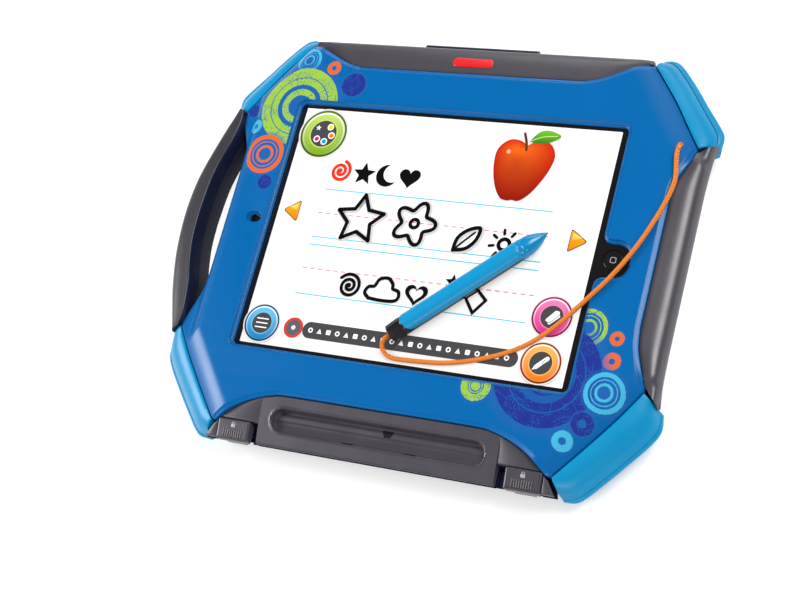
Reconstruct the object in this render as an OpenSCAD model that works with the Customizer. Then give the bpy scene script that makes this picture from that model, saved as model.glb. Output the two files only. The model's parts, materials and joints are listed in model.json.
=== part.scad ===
/* [Tablet] */
// Long side of the tablet computer
tablet_w = 241.2; // [236:0.1:244]
// Short side of the tablet computer
tablet_h = 185.7; // [180:0.1:188]
// Thickness of the tablet computer
tablet_t = 9.4; // [8.5:0.1:10]
// Long side of the lit picture
display_w = 197.1; // [190:0.1:199]
// Short side of the lit picture
display_h = 147.8; // [142:0.1:149]
// Radius of the home button
home_r = 5.6; // [4.8:0.1:6]

/* [Case] */
// Height of the bezel face above the glass
face_w = 3.5; // [3:0.1:4.5]
// Depth of the corner edges of the bezel below the glass
corner_w = 1.6; // [1:0.1:2.2]
// Height of the soft grips above the glass, where they meet the bezel
grip_w = 2; // [1.5:0.1:3]
// Slope of the soft grips, down towards the outside
grip_slope = 13; // [8:1:16]
// Slope of the bezel near its corners, down towards the outside
corner_slope = 27; // [22:1:30]
// Depth of the joint line between front frame and rear case below the glass
seam_w = 9; // [8.4:0.1:10]
// Depth at which the side walls end below the glass
side_w = 20; // [18:0.5:22]
// Depth of the flat back below the glass
back_w = 27; // [26:0.5:30]
// Half width of the window in the bezel
window_x = 102; // [100:0.5:104]
// Half height of the window in the bezel
window_y = 77.5; // [76:0.5:80]
// Wall thickness of the moulded shells
wall = 2.5; // [2:0.1:3]

/* [Moving parts] */
// How far a lid latch slides inwards to unlock
latch_travel = 5; // [4:0.5:6]
// Radius of the steel lid hinge pin
pin_r = 1.2; // [1:0.1:1.4]
// Running clearance of the hinge pin
running = 0.05; // [0.02:0.01:0.1]

/* [Stylus] */
// Diameter of the tether cord
cord_d = 2.6; // [2.2:0.1:3]
// Width of the stylus body
stylus_d = 11.6; // [10:0.1:12]
// Length of the stylus from cap to tip
stylus_l = 103; // [98:1:110]

/* [Hidden] */
gap = 0.3;
foot_t = 1.2;
body_left = 163.05;
body_right = 151.70;
body_top = 124.1;
body_bottom = 130.6;
rest_w = back_w + foot_t;
tablet_corner = 9;
glass_t = 0.9;
fit = 0.4;
flange_w = 6.7;
flange_in = 4.5;
taper = 0.96;
step_in = 2.2;
handle_w = 0;
reach = 400;
back_in = 9;
bezel_edge = 103;
side_edge = 134;
hinge_y = 121.4;
knuckle_r = 2.7;
knuckle_root = 112;
hinge_room = [-38, 36];
latch_x = 88;
latch_half = 10.4;
latch_low = 130.6;
latch_high = 119;
latch_peg = 6;
latch_rise = 0.5;
slot_in = latch_x - latch_half - latch_travel - gap;
slot_w = 2 * latch_half + latch_travel + 2 * gap;
screw_r = 1.25;
screw_bore_r = 1.3;
screw_l = 7.5;
boss_r = 4;
boss_top = 13.5;
boss_bore_r = 1.5;
head_r = 3.1;
foot_r = 8;
corner_edge = 155;
corner_turns = [-54.8, -126.7];
corner_from = corner_edge - (face_w + corner_w) / tan(corner_slope);
groove = [130, 13.5];
groove_at = [-115.5, -3.2];
badge_size = [25.6, 6.2];
badge_at = 6.6;
badge_fit = 0.2;
display_t = 2.6;
cell_h = 132;
lens_at = [-106, -76];
eye_x = -109.6;
home_x = 109.6;
core_r = 2.5;
pen_split = 1.2;
pen_r = stylus_d / 2 - 0.2;
cord_hole = [132.6, 67];
pen_start = [-4, -59.6];
pen_angle = 42;
cap_l = 9;
nib_from = 85;

// Right half of each moulded seam, from the middle of a side to the corner.
top_seam = [[0, 101.8], [64, 101.8], [72, 102.4], [80, 104.5], [90, 109], [99, 113.5], [104.4, 115.4]];
top_corner = [[107.2, 115.2], [111.5, 110.1], [123, 95.5], [133, 80.3], [140.8, 68.6]];
side_seam_top = [[133.4, 38], [134.2, 46], [136.8, 53], [139.6, 60], [140.8, 66]];
side_seam_low = [[133.4, -36], [134.6, -46], [137, -54], [139.8, -61.5], [141.4, -66.6]];
low_corner = [[141.4, -69], [131, -84.7], [117.5, -102.5], [103, -120.6]];
low_seam = [[0, -101.8], [55, -101.8], [68, -103.2], [80, -107.2], [90, -112.6], [100.2, -120.6]];
// Outer side of the corner bumpers, from the horizontal side round to the upright side.
top_bumper = [
    [112.4, 121.6], [118.4, 120.4], [128.6, 110.4], [139.2, 97.4], [149, 85], [151.6, 79.8], [151.2, 73.4]];
low_bumper = [
    [150.4, -76], [151.4, -84.6], [147.6, -92.4], [138.6, -104],
    [127.4, -117.4], [117, -128.4], [108.4, -130]];
// Outer and inner side of the carry handle, from its upper to its lower end.
grip_out = [
    [-146.6, 71.2], [-152.9, 54.4], [-160.1, 29.1], [-162.6, 12], [-162.9, -5],
    [-160.8, -26], [-156.2, -46.5], [-151.2, -61.4], [-147, -73.2]];
grip_in = [
    [-142.6, -69.8], [-142, -60.5], [-144.4, -42], [-147.8, -29.5], [-150.4, -16], [-151.3, -3],
    [-151.1, 9], [-150, 24.7], [-147.2, 37.5], [-144, 48.6], [-141.8, 61], [-142.2, 69.2]];
// Outer side of the side grip, from its upper to its lower end.
side_out = [
    [150.8, 72.8], [149, 66], [147.4, 56], [147, 46],
    [147, -46], [147.4, -56], [149, -66], [150, -75.3]];

// Route of the tether cord: over the bezel face, down onto the glass, then to the stylus cap.
cord_upper_route = [
    [132.6, 73.8, -2.6], [132.6, 67, 3.2], [132.8, 63.6, 5.4], [133.3, 59.4, 6.3],
    [134.2, 53.6, 5.8], [134.9, 47.2, 5], [134.1, 40.2, 4.9], [132.3, 33.2, 4.9],
    [130.1, 26.2, 4.9], [127.3, 18.7, 4.9], [124.3, 11.2, 4.9],
    [120.8, 3.7, 5], [116.8, -3.8, 5], [112.8, -10.3, 4.9], [108.6, -16.6, 4.9], [104.2, -22.3, 4.8],
    [100, -27.2, 3.8], [96, -31.2, 2.4], [91.8, -36, 1.6], [87.4, -41, 1.4], [82.2, -46.4, 1.4],
    [76.2, -51.6, 1.4], [69.7, -56, 1.4], [62.1, -60.1, 1.4], [54.1, -63.3, 1.4], [45.1, -66.3, 1.4],
    [36, -68.6, 1.4], [27, -70.1, 1.4], [18.1, -70.8, 1.4]];
cord_lower_route = [
    [18, -70.8, 1.4], [10, -71.2, 1.4], [3, -71.4, 1.4], [-1.5, -71.1, 1.4], [-5, -69.8, 1.6],
    [-7.4, -67.4, 2.4], [-8.1, -64.6, 3.6], [-7, -62.3, 4.9], [-5.6, -61.1, 5.7], [-4.1, -59.7, 6]];

boss_places = [for (x = [-104, 0, 104], y = [-84, 84]) [x, y]];
foot_places = [for (x = [-112, 112], y = [-92, 92]) [x, y]];

function unit(p) = p / norm(p);
function shift(pts, d) = [for (p = pts) p + d];
function flip(pts) = [for (i = [len(pts) - 1:-1:0]) [-pts[i].x, pts[i].y]];
function back(pts) = [for (i = [len(pts) - 1:-1:0]) pts[i]];

// Smooth open curve through the points, with n steps between each pair.
function bend(a, b, c, d, t) =
    0.5 * (2 * b + (c - a) * t + (2 * a - 5 * b + 4 * c - d) * t * t + (3 * b - a - 3 * c + d) * t * t * t);
function curve(pts, n = 4) =
    let (last = len(pts) - 1)
    [for (i = [0:last - 1])
        let (a = pts[max(i - 1, 0)], d = pts[min(i + 2, last)])
        for (k = [0:n - (i == last - 1 ? 0 : 1)]) bend(a, pts[i], pts[i + 1], d, k / n)];

// Half outline of the bezel face on the right, from its lowest to its highest point.
bezel_half = concat(curve(low_seam), curve(back(low_corner)), curve(back(side_seam_low)),
    curve(side_seam_top), curve(back(top_corner)), curve(back(top_seam)));
bezel_outline = concat(bezel_half, flip(bezel_half));

// From the middle of the display to the frame of the whole part, which rests on its feet.
module place() {
    translate([(body_left - body_right) / 2, (body_bottom - body_top) / 2, rest_w]) children();
}

// Points at even steps along a line, by number.
function pick(pts, count) =
    [for (k = [0:count - 1])
        let (at = k * (len(pts) - 1) / (count - 1), i = min(floor(at), len(pts) - 2))
        pts[i] + (at - i) * (pts[i + 1] - pts[i])];

// Solid between two heights over the glass.
module slab(low, high) { translate([0, 0, low]) linear_extrude(high - low) children(); }

module round_rect(w, h, r) {
    square([w - 2 * r, h], center = true);
    square([w, h - 2 * r], center = true);
    for (x = [-1, 1], y = [-1, 1]) translate([x * (w / 2 - r), y * (h / 2 - r)]) circle(r, $fn = 32);
}

module both_sides() { for (s = [0, 1]) mirror([s, 0, 0]) children(); }

// Stadium with its middle at the origin.
module stadium(w, h) {
    square([w - h, h], center = true);
    for (x = [-1, 1]) translate([x * (w - h) / 2, 0]) circle(h / 2, $fn = 32);
}

module bezel_face() { polygon(bezel_outline); }

// Full outline of the body under the soft parts, without the handle.
module body_face(inset = 0) {
    polygon(concat(
        [[0, inset - 129.4], [108, inset - 129.4]],
        [for (p = curve(back(low_bumper))) p * (1 - inset / 150)],
        [[147 - inset, -64], [147 - inset, 64]],
        [for (p = curve(back(top_bumper))) p * (1 - inset / 150)],
        [[106, 117.2 - inset], [-106, 117.2 - inset]],
        [for (p = curve([for (q = top_bumper) [-q.x, q.y]])) p * (1 - inset / 150)],
        shift(flip(curve(side_seam_top)), [inset, 0]),
        shift(flip(curve(back(side_seam_low))), [inset, 0]),
        [for (p = curve([for (q = low_bumper) [-q.x, q.y]])) p * (1 - inset / 150)],
        [[-108, inset - 129.4]]));
}

module pocket(low, high) {
    slab(low, high) round_rect(tablet_w + 2 * fit, tablet_h + 2 * fit, tablet_corner);
}

// Window with the thumb notch for the home button and the recess for the front camera.
module window_face() {
    round_rect(2 * window_x, 2 * window_y, 3);
    translate([107, -1]) round_rect(24, 19, 7);
}

module camera_recess() { translate([-113, 1.5]) stadium(13, 8.6); }

module screw_places() {
    for (p = [[-60, 109], [60, 109], [-122, 84], [122, 84], [-122, -88], [122, -88], [140, 20], [140, -20]])
        translate([p.x, p.y, 0]) children();
}

// Round bar along the hinge axis.
module hinge_rod(from, to, r) {
    translate([from, hinge_y, -seam_w]) rotate([0, 90, 0]) cylinder(r = r, h = to - from, $fn = 48);
}

module knuckles(spans, up) {
    for (s = spans) {
        difference() {
            union() {
                hinge_rod(s[0], s[1], knuckle_r);
                translate([s[0], knuckle_root, up ? -seam_w + gap / 2 : -seam_w - knuckle_r])
                    cube([s[1] - s[0], hinge_y - knuckle_root, seam_w - flange_w - gap / 2]);
            }
            hinge_rod(s[0] - 1, s[1] + 1, pin_r + running);
        }
    }
}

module front_bezel() {
    color("royalblue") place() difference() {
        intersection() {
            union() {
                slab(-flange_w, face_w) bezel_face();
                slab(gap / 2 - seam_w, -flange_w) body_face(flange_in);
                knuckles([[-29.4, -14.4], [17.2, 28]], true);
            }
            under_corners();
        }
        pocket(-seam_w - 1, gap);
        slab(-1, face_w + 1) window_face();
        slab(1.4, face_w + 1) camera_recess();
        slab(-1, 2) translate([-110, 0]) circle(2.8, $fn = 32);
        in_cord_hole() translate([0, 0, -13]) cylinder(r = 2.4, h = 20, $fn = 32);
        both_sides() latch_slot();
        screw_tips();
    }
}

module latch_slot() {
    translate([slot_in, -latch_low - 5, -seam_w - 1]) cube([slot_w, latch_low + 5 - latch_high + gap, 20]);
}

// Solid with the given section, as [share of the width, height], swept between two lines.
module swept(inner, outer, section) {
    count = 17;
    row = len(section);
    in = pick(curve(inner), count);
    out = pick(curve(outer), count);
    points = [for (k = [0:count - 1], p = section)
        let (at = in[k] + p[0] * (out[k] - in[k])) [at.x, at.y, p[1]]];
    sides = [for (k = [0:count - 2], j = [0:row - 1])
        [row * k + j, row * k + row + j, row * k + row + (j + 1) % row, row * k + (j + 1) % row]];
    ends = [[for (j = [0:row - 1]) j], [for (j = [row - 1:-1:0]) row * (count - 1) + j]];
    polyhedron(points, concat(sides, ends));
}

front_section = [[0, -flange_w], [0, -corner_w], [0.42, -corner_w - 1.5], [0.75, -flange_w]];

module front_high_corner() { swept(shift(top_corner, [gap, gap]), top_bumper, front_section); }
module front_low_corner() { swept(shift(low_corner, [gap, -gap]), low_bumper, front_section); }

module bumper_front_top_left() { color("deepskyblue") place() mirror([1, 0, 0]) front_high_corner(); }
module bumper_front_top_right() { color("deepskyblue") place() front_high_corner(); }
module bumper_front_low_left() { color("deepskyblue") place() mirror([1, 0, 0]) front_low_corner(); }
module bumper_front_low_right() { color("deepskyblue") place() front_low_corner(); }

module top_grip_face() {
    seam = shift(top_seam, [0, gap]);
    shoulder = [[106.8, 115.9], [109.2, 119.2], [98, 119.6]];
    polygon(concat(curve(seam), shoulder, flip(shoulder), curve(flip(seam))));
}

// Everything under a plane that starts at the given height and distance and slopes down outwards.
module under_slope(turn, from, high, slope = grip_slope) {
    rotate(turn) translate([0, from, high]) rotate([-slope, 0, 0])
        translate([-reach, -reach, -reach]) cube([2 * reach, 2 * reach, reach]);
}

// Everything under the four planes that slope down towards the corners of the bezel.
module under_corners() {
    intersection_for (c = [for (side = [0, 1], turn = corner_turns) [side, turn]])
        mirror([c[0], 0, 0]) under_slope(c[1], corner_from, face_w, corner_slope);
}

module hinge_pocket(low, high) {
    translate([hinge_room[0], hinge_y - knuckle_r - gap - 0.6, low])
        cube([hinge_room[1] - hinge_room[0], 10, high - low]);
}

module top_grip_front() {
    color("dimgray") place() difference() {
        intersection() {
            slab(-flange_w, grip_w + 2) top_grip_face();
            slab(-flange_w, grip_w + 2) translate([0, -step_in]) top_grip_face();
            under_slope(0, bezel_edge, grip_w);
            under_corners();
        }
        hinge_pocket(-flange_w - 1, knuckle_r + gap - seam_w + 0.6);
        on_top_grip(-0.6) linear_extrude(4)
            stadium(badge_size.x + 2 * badge_fit, badge_size.y + 2 * badge_fit);
        screw_tips();
    }
}

// Place on the sloping face of the top grip where the badge sits.
module on_top_grip(depth) {
    translate([0, bezel_edge, grip_w]) rotate([-grip_slope, 0, 0]) translate([0, badge_at, depth]) children();
}

module screw_tips() {
    translate([0, 0, -seam_w]) screw_places() cylinder(r = screw_bore_r, h = screw_l + 0.5, $fn = 24);
}

module badge() {
    color("firebrick") place() on_top_grip(-0.5) linear_extrude(1) stadium(badge_size.x, badge_size.y);
}

module side_grip_face() {
    polygon(concat(
        shift(curve(back(side_seam_low)), [gap, 0]),
        shift(curve(side_seam_top), [gap, 0]),
        side_out));
}

module side_grip_front() {
    color("dimgray") place() difference() {
        intersection() {
            slab(-flange_w, grip_w + 2) side_grip_face();
            slab(-flange_w, grip_w + 2) translate([-step_in, 0]) side_grip_face();
            under_slope(-90, side_edge, grip_w);
            under_corners();
        }
        screw_tips();
    }
}

module handle_face() { polygon(concat(curve(grip_out), curve(grip_in))); }

// Side walls of the rear half, which lean inwards from the joint line to the back.
module tapered(sides = [taper, taper]) {
    translate([0, 0, -seam_w - gap / 2]) mirror([0, 0, 1])
        linear_extrude(side_w - seam_w - gap / 2, scale = sides) children();
}

module handle_front() { color("dimgray") place() slab(gap / 2 - seam_w, handle_w) handle_face(); }
module handle_rear() { color("dimgray") place() tapered([1, taper]) handle_face(); }

module bar_face() {
    seam = curve(shift(low_seam, [0, -gap]));
    intersection() {
        polygon(concat([[-106.5, -130.2], [106.5, -130.2]], back(seam), [for (p = seam) [-p.x, p.y]]));
        square([2 * (latch_x + latch_half), reach], center = true);
    }
}

module tray_bar() {
    color("dimgray") place() difference() {
        intersection() {
            slab(-flange_w, grip_w + 2) bar_face();
            under_slope(180, bezel_edge, grip_w);
            under_corners();
        }
        // Long groove that holds the stylus, with two drain slots in its lower rim.
        translate([0, groove_at.x, groove_at.y]) linear_extrude(10) stadium(groove.x, groove.y);
        for (x = [-16, 22]) translate([x, -125, -3.6]) linear_extrude(4) square([5, 2.2], center = true);
        both_sides() latch_slot();
    }
}

// The cord comes out of the bezel at a slant, along this axis.
module in_cord_hole() { translate([cord_hole.x, cord_hole.y, face_w]) rotate([50, 0, 0]) children(); }

module cord_grommet() {
    color("midnightblue") place() difference() {
        intersection() {
            in_cord_hole() translate([0, 0, -8]) cylinder(r = 2.35, h = 14, $fn = 32);
            slab(-10, face_w) square(2 * reach, center = true);
            under_corners();
        }
        in_cord_hole() translate([0, 0, -9]) cylinder(r = cord_d / 2 + 0.05, h = 20, $fn = 32);
    }
}

module cord_anchor() {
    color("darkorange") place() in_cord_hole() translate([0, 0, -12.5]) cylinder(r = 2.2, h = 3, $fn = 32);
}

module front_screws() {
    color("silver") place() translate([0, 0, gap / 2 - seam_w]) screw_places()
        cylinder(r = screw_r, h = screw_l, $fn = 24);
}

// Blue apron behind the tray bar and the rail that carries the hinge.
module rear_apron() {
    tapered()
        polygon([[-107, -130.2], [107, -130.2], [104, -121.6], [60, -98], [-60, -98], [-104, -121.6]]);
    slab(-seam_w - knuckle_r, -seam_w - gap / 2)
        translate([hinge_room[0] + 1, 98]) square([hinge_room[1] - hinge_room[0] - 2, 19]);
}

module rear_shell() {
    color("royalblue") place() difference() {
        union() {
            tapered() bezel_face();
            rear_apron();
            slab(-back_w, -side_w) body_face(back_in);
            knuckles([[-36.4, -29.8], [-14, 16.8], [28.4, 34.6]], false);
            bosses();
        }
        pocket(-seam_w - 4.4, 0);
        difference() {
            slab(wall - back_w, -seam_w - 4) round_rect(232, 180, 12);
            bosses();
        }
        both_sides() latch_slot();
        both_sides() peg_slot();
        screw_bores();
    }
}

module bosses() {
    for (p = boss_places)
        translate([p.x, p.y, -back_w]) cylinder(r = boss_r, h = back_w - boss_top, $fn = 32);
}

module peg_slot() {
    translate([latch_x - latch_peg - latch_travel - gap, -latch_low - 5, -seam_w - 4.5])
        cube([2 * latch_peg + latch_travel + 2 * gap, 10, 5]);
}

module screw_bores() {
    for (p = boss_places) translate([p.x, p.y, -back_w - 1]) {
        cylinder(r = boss_bore_r, h = 16, $fn = 32);
        cylinder(r = head_r + gap, h = 1 + 1.6, $fn = 32);
    }
}

module inner_tray() {
    color("slategray") place() difference() {
        slab(-13.4, -11) round_rect(tablet_w, tablet_h, tablet_corner);
        for (p = boss_places) translate([p.x, p.y, -20]) cylinder(r = boss_bore_r - 0.05, h = 20, $fn = 32);
        // Window behind the rear camera.
        translate([lens_at.x, lens_at.y, -20]) cylinder(r = 5, h = 20, $fn = 32);
    }
}

module rear_screws() {
    color("silver") place() for (p = boss_places) translate([p.x, p.y, 0]) difference() {
        union() {
            translate([0, 0, 0.1 - back_w]) cylinder(r = head_r, h = 1.5, $fn = 32);
            translate([0, 0, 0.2 - back_w]) cylinder(r = 1.4, h = back_w - 11.4, $fn = 32);
        }
        for (a = [0, 90]) rotate(a) translate([-2, -0.4, -back_w - 1]) cube([4, 0.8, 1.9]);
    }
}

module rear_feet() {
    color("black") place() for (p = foot_places)
        translate([p.x, p.y, -rest_w]) cylinder(r = foot_r, h = foot_t, $fn = 48);
}

module rear_high_corner() {
    tapered() polygon(concat(curve(top_bumper), back(curve(shift(top_corner, [gap, gap])))));
}

module rear_low_corner() {
    tapered() polygon(concat(curve(low_bumper), back(curve(shift(low_corner, [gap, -gap])))));
}

module bumper_rear_top_left() { color("deepskyblue") place() mirror([1, 0, 0]) rear_high_corner(); }
module bumper_rear_top_right() { color("deepskyblue") place() rear_high_corner(); }
module bumper_rear_low_left() { color("deepskyblue") place() mirror([1, 0, 0]) rear_low_corner(); }
module bumper_rear_low_right() { color("deepskyblue") place() rear_low_corner(); }

module top_grip_rear() {
    color("dimgray") place() difference() {
        tapered() top_grip_face();
        hinge_pocket(-seam_w - knuckle_r - gap - 0.6, 0);
        translate([hinge_room[0], 90, -seam_w - knuckle_r - gap])
            cube([hinge_room[1] - hinge_room[0], 40, knuckle_r + gap]);
    }
}

module side_grip_rear() { color("dimgray") place() tapered() side_grip_face(); }

module hinge_pin() { color("silver") place() hinge_rod(-36.4, 34.6, pin_r); }

module tray_pads() {
    color("black") place() for (x = [-100, 100], y = [-70, 70])
        translate([x, y, -11]) linear_extrude(1.6) square([14, 10], center = true);
}

module tablet_back() {
    color("lightgray") place() difference() {
        slab(-tablet_t, -glass_t) round_rect(tablet_w, tablet_h, tablet_corner);
        slab(1.2 - tablet_t, 0) round_rect(tablet_w - 3, tablet_h - 3, tablet_corner - 1.5);
        translate([lens_at.x, lens_at.y, -tablet_t - 1]) cylinder(r = 3.2, h = 4, $fn = 32);
        translate([tablet_w / 2 - 5, 0, -5.4]) cube([12, 22.4, 3], center = true);
        power_cut();
        volume_cut();
    }
}

module power_cut() { translate([-tablet_w / 2, -76, -4.6]) cube([8, 10.4, 2.4], center = true); }
module volume_cut() { translate([-84, tablet_h / 2, -4.6]) cube([20.4, 8, 2.4], center = true); }

module tablet_glass() {
    color("black") place() difference() {
        slab(-glass_t, 0) round_rect(tablet_w, tablet_h, tablet_corner);
        translate([home_x, 0, -5]) cylinder(r = home_r + 0.1, h = 10, $fn = 48);
    }
}

module display_panel() {
    color("white") place() slab(-glass_t - 0.1 - display_t, -glass_t - 0.1)
        square([display_w + 5, display_h + 4], center = true);
}

module battery_cells() {
    color("dimgray") place() for (x = [-62, 3])
        translate([x, -cell_h / 2, 1.4 - tablet_t]) cube([62, cell_h, 3.8]);
}

module logic_board() {
    color("darkgreen") place() translate([70, -cell_h / 2, 1.4 - tablet_t]) cube([24, cell_h, 2.4]);
}

module speaker() { color("dimgray") place() translate([104, -80, 1.4 - tablet_t]) cube([12, 26, 4]); }

module front_camera() {
    color("black") place() translate([eye_x, 0, -4.6]) {
        cylinder(r = 2.2, h = 4.6 - glass_t, $fn = 32);
        translate([-3.5, -3.5, 0]) cube([7, 7, 2]);
    }
}

module rear_camera() {
    color("black") place() translate([lens_at.x, lens_at.y, -tablet_t]) {
        cylinder(r = 3.1, h = 3, $fn = 32);
        translate([-4, -4, 1.4]) cube([8, 8, 2.4]);
    }
}

module dock_connector() {
    color("silver") place() translate([tablet_w / 2 - 6.4, -11, -6.8]) cube([6, 22, 2.8]);
}

module home_switch() {
    color("gold") place() translate([home_x, 0, -5.6]) {
        translate([-4, -4, 0]) cube([8, 8, 1.4]);
        cylinder(r = 2, h = 2.4, $fn = 32);
    }
}

module home_button() {
    color("black") place() translate([home_x, 0, 0]) {
        translate([0, 0, -2]) cylinder(r = home_r, h = 1.9, $fn = 64);
        translate([0, 0, -2.4]) cylinder(r = 2, h = 0.6, $fn = 32);
    }
}

module power_button() {
    color("black") place() translate([-tablet_w / 2 - 0.3, -81, -5.6]) cube([2.6, 10, 2]);
}

module volume_rocker() {
    color("black") place() translate([-94, tablet_h / 2 - 2.3, -5.6]) cube([20, 2.6, 2]);
}

module latch() {
    intersection() {
        translate([latch_x - latch_half, -latch_low, 0.8 - seam_w])
            cube([2 * latch_half, latch_low - latch_high, seam_w + grip_w]);
        under_slope(180, bezel_edge, grip_w + latch_rise);
    }
    translate([latch_x - latch_peg, 0.4 - latch_low, -seam_w - 4]) cube([2 * latch_peg, 4, 5]);
}

module latch_left() { color("dimgray") place() mirror([1, 0, 0]) latch(); }
module latch_right() { color("dimgray") place() latch(); }

// The stylus lies on the glass along the direction of its angle, from its cap.
module along_pen() { translate([pen_start.x, pen_start.y, stylus_d / 2 + 0.2]) rotate(pen_angle) children(); }

module pen_rod(from, to, r) {
    translate([from, 0, 0]) rotate([0, 90, 0]) cylinder(r = r, h = to - from, $fn = 48);
}

module pen_half(upper) {
    translate([0, -stylus_d, upper ? -pen_split : -pen_split - stylus_d])
        cube([stylus_l, 2 * stylus_d, stylus_d]);
}

module stylus_barrel() {
    color("deepskyblue") place() along_pen() difference() {
        intersection() {
            pen_rod(cap_l, nib_from, pen_r);
            pen_half(true);
        }
        pen_rod(cap_l - 1, nib_from + 1, core_r + 0.1);
    }
}

module stylus_shell() {
    color("black") place() along_pen() difference() {
        intersection() {
            pen_rod(cap_l, nib_from, pen_r);
            pen_half(false);
        }
        pen_rod(cap_l - 1, nib_from + 1, core_r + 0.1);
    }
}

module stylus_cap() { color("black") place() along_pen() pen_rod(0, cap_l, pen_r + 0.1); }

module stylus_nib() {
    color("deepskyblue") place() along_pen() translate([nib_from, 0, 0]) rotate([0, 90, 0])
        rotate_extrude($fn = 48) polygon(concat([[0, 0]],
            [for (a = [0:10:90]) [pen_r * pow(cos(a), 0.85), (stylus_l - nib_from) * sin(a)]]));
}

module stylus_core() { color("silver") place() along_pen() pen_rod(cap_l, nib_from, core_r); }

// Tube of eight sides swept along a route.
function ring(p, dir, r) =
    let (side = unit(cross(dir, [0, 0, 1]) + [0, 0.0001, 0]), up = cross(side, dir))
    [for (a = [0:45:315]) p + r * (side * cos(a) + up * sin(a))];

module tube(route, d) {
    path = curve(route, 2);
    last = len(path) - 1;
    rings = [for (i = [0:last]) ring(path[i], unit(path[min(i + 1, last)] - path[max(i - 1, 0)]), d / 2)];
    points = [for (r = rings) each r];
    sides = [for (i = [0:last - 1], k = [0:7])
        [8 * i + k, 8 * i + (k + 1) % 8, 8 * i + 8 + (k + 1) % 8, 8 * i + 8 + k]];
    ends = [[for (k = [7:-1:0]) k], [for (k = [0:7]) 8 * last + k]];
    polyhedron(points, concat(sides, ends));
}

module cord_upper() { color("darkorange") place() tube(cord_upper_route, cord_d); }
module cord_lower() { color("darkorange") place() tube(cord_lower_route, cord_d); }

front_bezel();
bumper_front_top_left();
bumper_front_top_right();
bumper_front_low_left();
bumper_front_low_right();
top_grip_front();
side_grip_front();
handle_front();
tray_bar();
badge();
cord_grommet();
cord_anchor();
front_screws();
rear_shell();
inner_tray();
bumper_rear_top_left();
bumper_rear_top_right();
bumper_rear_low_left();
bumper_rear_low_right();
top_grip_rear();
side_grip_rear();
handle_rear();
rear_screws();
rear_feet();
hinge_pin();
tray_pads();
tablet_back();
tablet_glass();
display_panel();
battery_cells();
logic_board();
speaker();
front_camera();
rear_camera();
dock_connector();
home_switch();
home_button();
power_button();
volume_rocker();
latch_left();
latch_right();
stylus_barrel();
stylus_shell();
stylus_cap();
stylus_nib();
stylus_core();
cord_upper();
cord_lower();
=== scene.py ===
import json
import math

import bmesh
import bpy
import numpy as np
from mathutils import Matrix, Vector
from mathutils.geometry import tessellate_polygon


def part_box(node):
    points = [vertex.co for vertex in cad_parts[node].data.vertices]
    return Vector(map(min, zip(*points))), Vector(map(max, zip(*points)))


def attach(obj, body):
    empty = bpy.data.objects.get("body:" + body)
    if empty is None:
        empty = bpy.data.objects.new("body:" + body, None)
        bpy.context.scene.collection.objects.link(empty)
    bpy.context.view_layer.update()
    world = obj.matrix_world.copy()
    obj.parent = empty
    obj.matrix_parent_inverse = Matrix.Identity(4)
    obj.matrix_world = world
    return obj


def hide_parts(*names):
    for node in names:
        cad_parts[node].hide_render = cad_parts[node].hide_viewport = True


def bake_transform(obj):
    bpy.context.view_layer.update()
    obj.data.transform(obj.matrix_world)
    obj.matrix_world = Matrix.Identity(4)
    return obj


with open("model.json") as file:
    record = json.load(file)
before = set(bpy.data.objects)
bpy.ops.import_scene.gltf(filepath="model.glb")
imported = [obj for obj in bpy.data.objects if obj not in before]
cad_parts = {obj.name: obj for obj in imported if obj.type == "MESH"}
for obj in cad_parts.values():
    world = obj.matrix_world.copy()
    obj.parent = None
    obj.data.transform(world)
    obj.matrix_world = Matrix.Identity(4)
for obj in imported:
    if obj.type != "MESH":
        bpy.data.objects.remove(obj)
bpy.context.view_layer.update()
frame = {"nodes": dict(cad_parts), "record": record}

MM = 0.001
GLASS_LOW, GLASS_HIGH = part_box("tablet_glass")
ORIGIN = Vector(((GLASS_LOW.x + GLASS_HIGH.x) / 2, (GLASS_LOW.y + GLASS_HIGH.y) / 2, GLASS_HIGH.z))


def at(u, v, w=0.0):
    """Point in the frame, from millimetres right, up and out of the middle of the screen."""
    return ORIGIN + Vector((float(u), float(v), float(w))) * MM


def shown(name, data):
    """New object in the scene."""
    obj = bpy.data.objects.new(name, data)
    bpy.context.scene.collection.objects.link(obj)
    return obj


# Camera -----------------------------------------------------------------------------------------
EYE = (400.24, -287.72, 805.49)
EYE_RIGHT = Vector((0.89335, 0.25095, -0.37276))
EYE_UP = Vector((-0.11607, 0.93024, 0.34810))
EYE_BACK = Vector((0.43412, -0.26771, 0.86016))
camera_data = bpy.data.cameras.new("camera")
camera_data.lens = 76.1
camera_data.sensor_width = 36.0
camera_data.clip_start = 0.01
camera = shown("camera", camera_data)
turn = Matrix((EYE_RIGHT, EYE_UP, EYE_BACK)).transposed().to_4x4()
camera.matrix_world = Matrix.Translation(at(*EYE)) @ turn
bpy.context.scene.camera = camera
bpy.context.scene.view_settings.view_transform = "Standard"


# Curves and outlines in millimetres -------------------------------------------------------------
def bend(a, b, c, d, t):
    """Point between b and c on the smooth curve through the four points."""
    square, cube = 2 * a - 5 * b + 4 * c - d, 3 * b - a - 3 * c + d
    return 0.5 * (2 * b + (c - a) * t + square * t ** 2 + cube * t ** 3)


def curve(points, steps=8):
    """Smooth open curve through the points."""
    pts = [np.array(p, float) for p in points]
    last = len(pts) - 1
    out = []
    for i in range(last):
        a, d = pts[max(i - 1, 0)], pts[min(i + 2, last)]
        count = steps + (1 if i == last - 1 else 0)
        out += [bend(a, pts[i], pts[i + 1], d, k / steps) for k in range(count)]
    return np.array(out)


def back(points):
    return list(reversed([tuple(p) for p in points]))


def flip(points):
    return [(-p[0], p[1]) for p in back(points)]


def shift(points, u, v):
    return [(p[0] + u, p[1] + v) for p in points]


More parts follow.
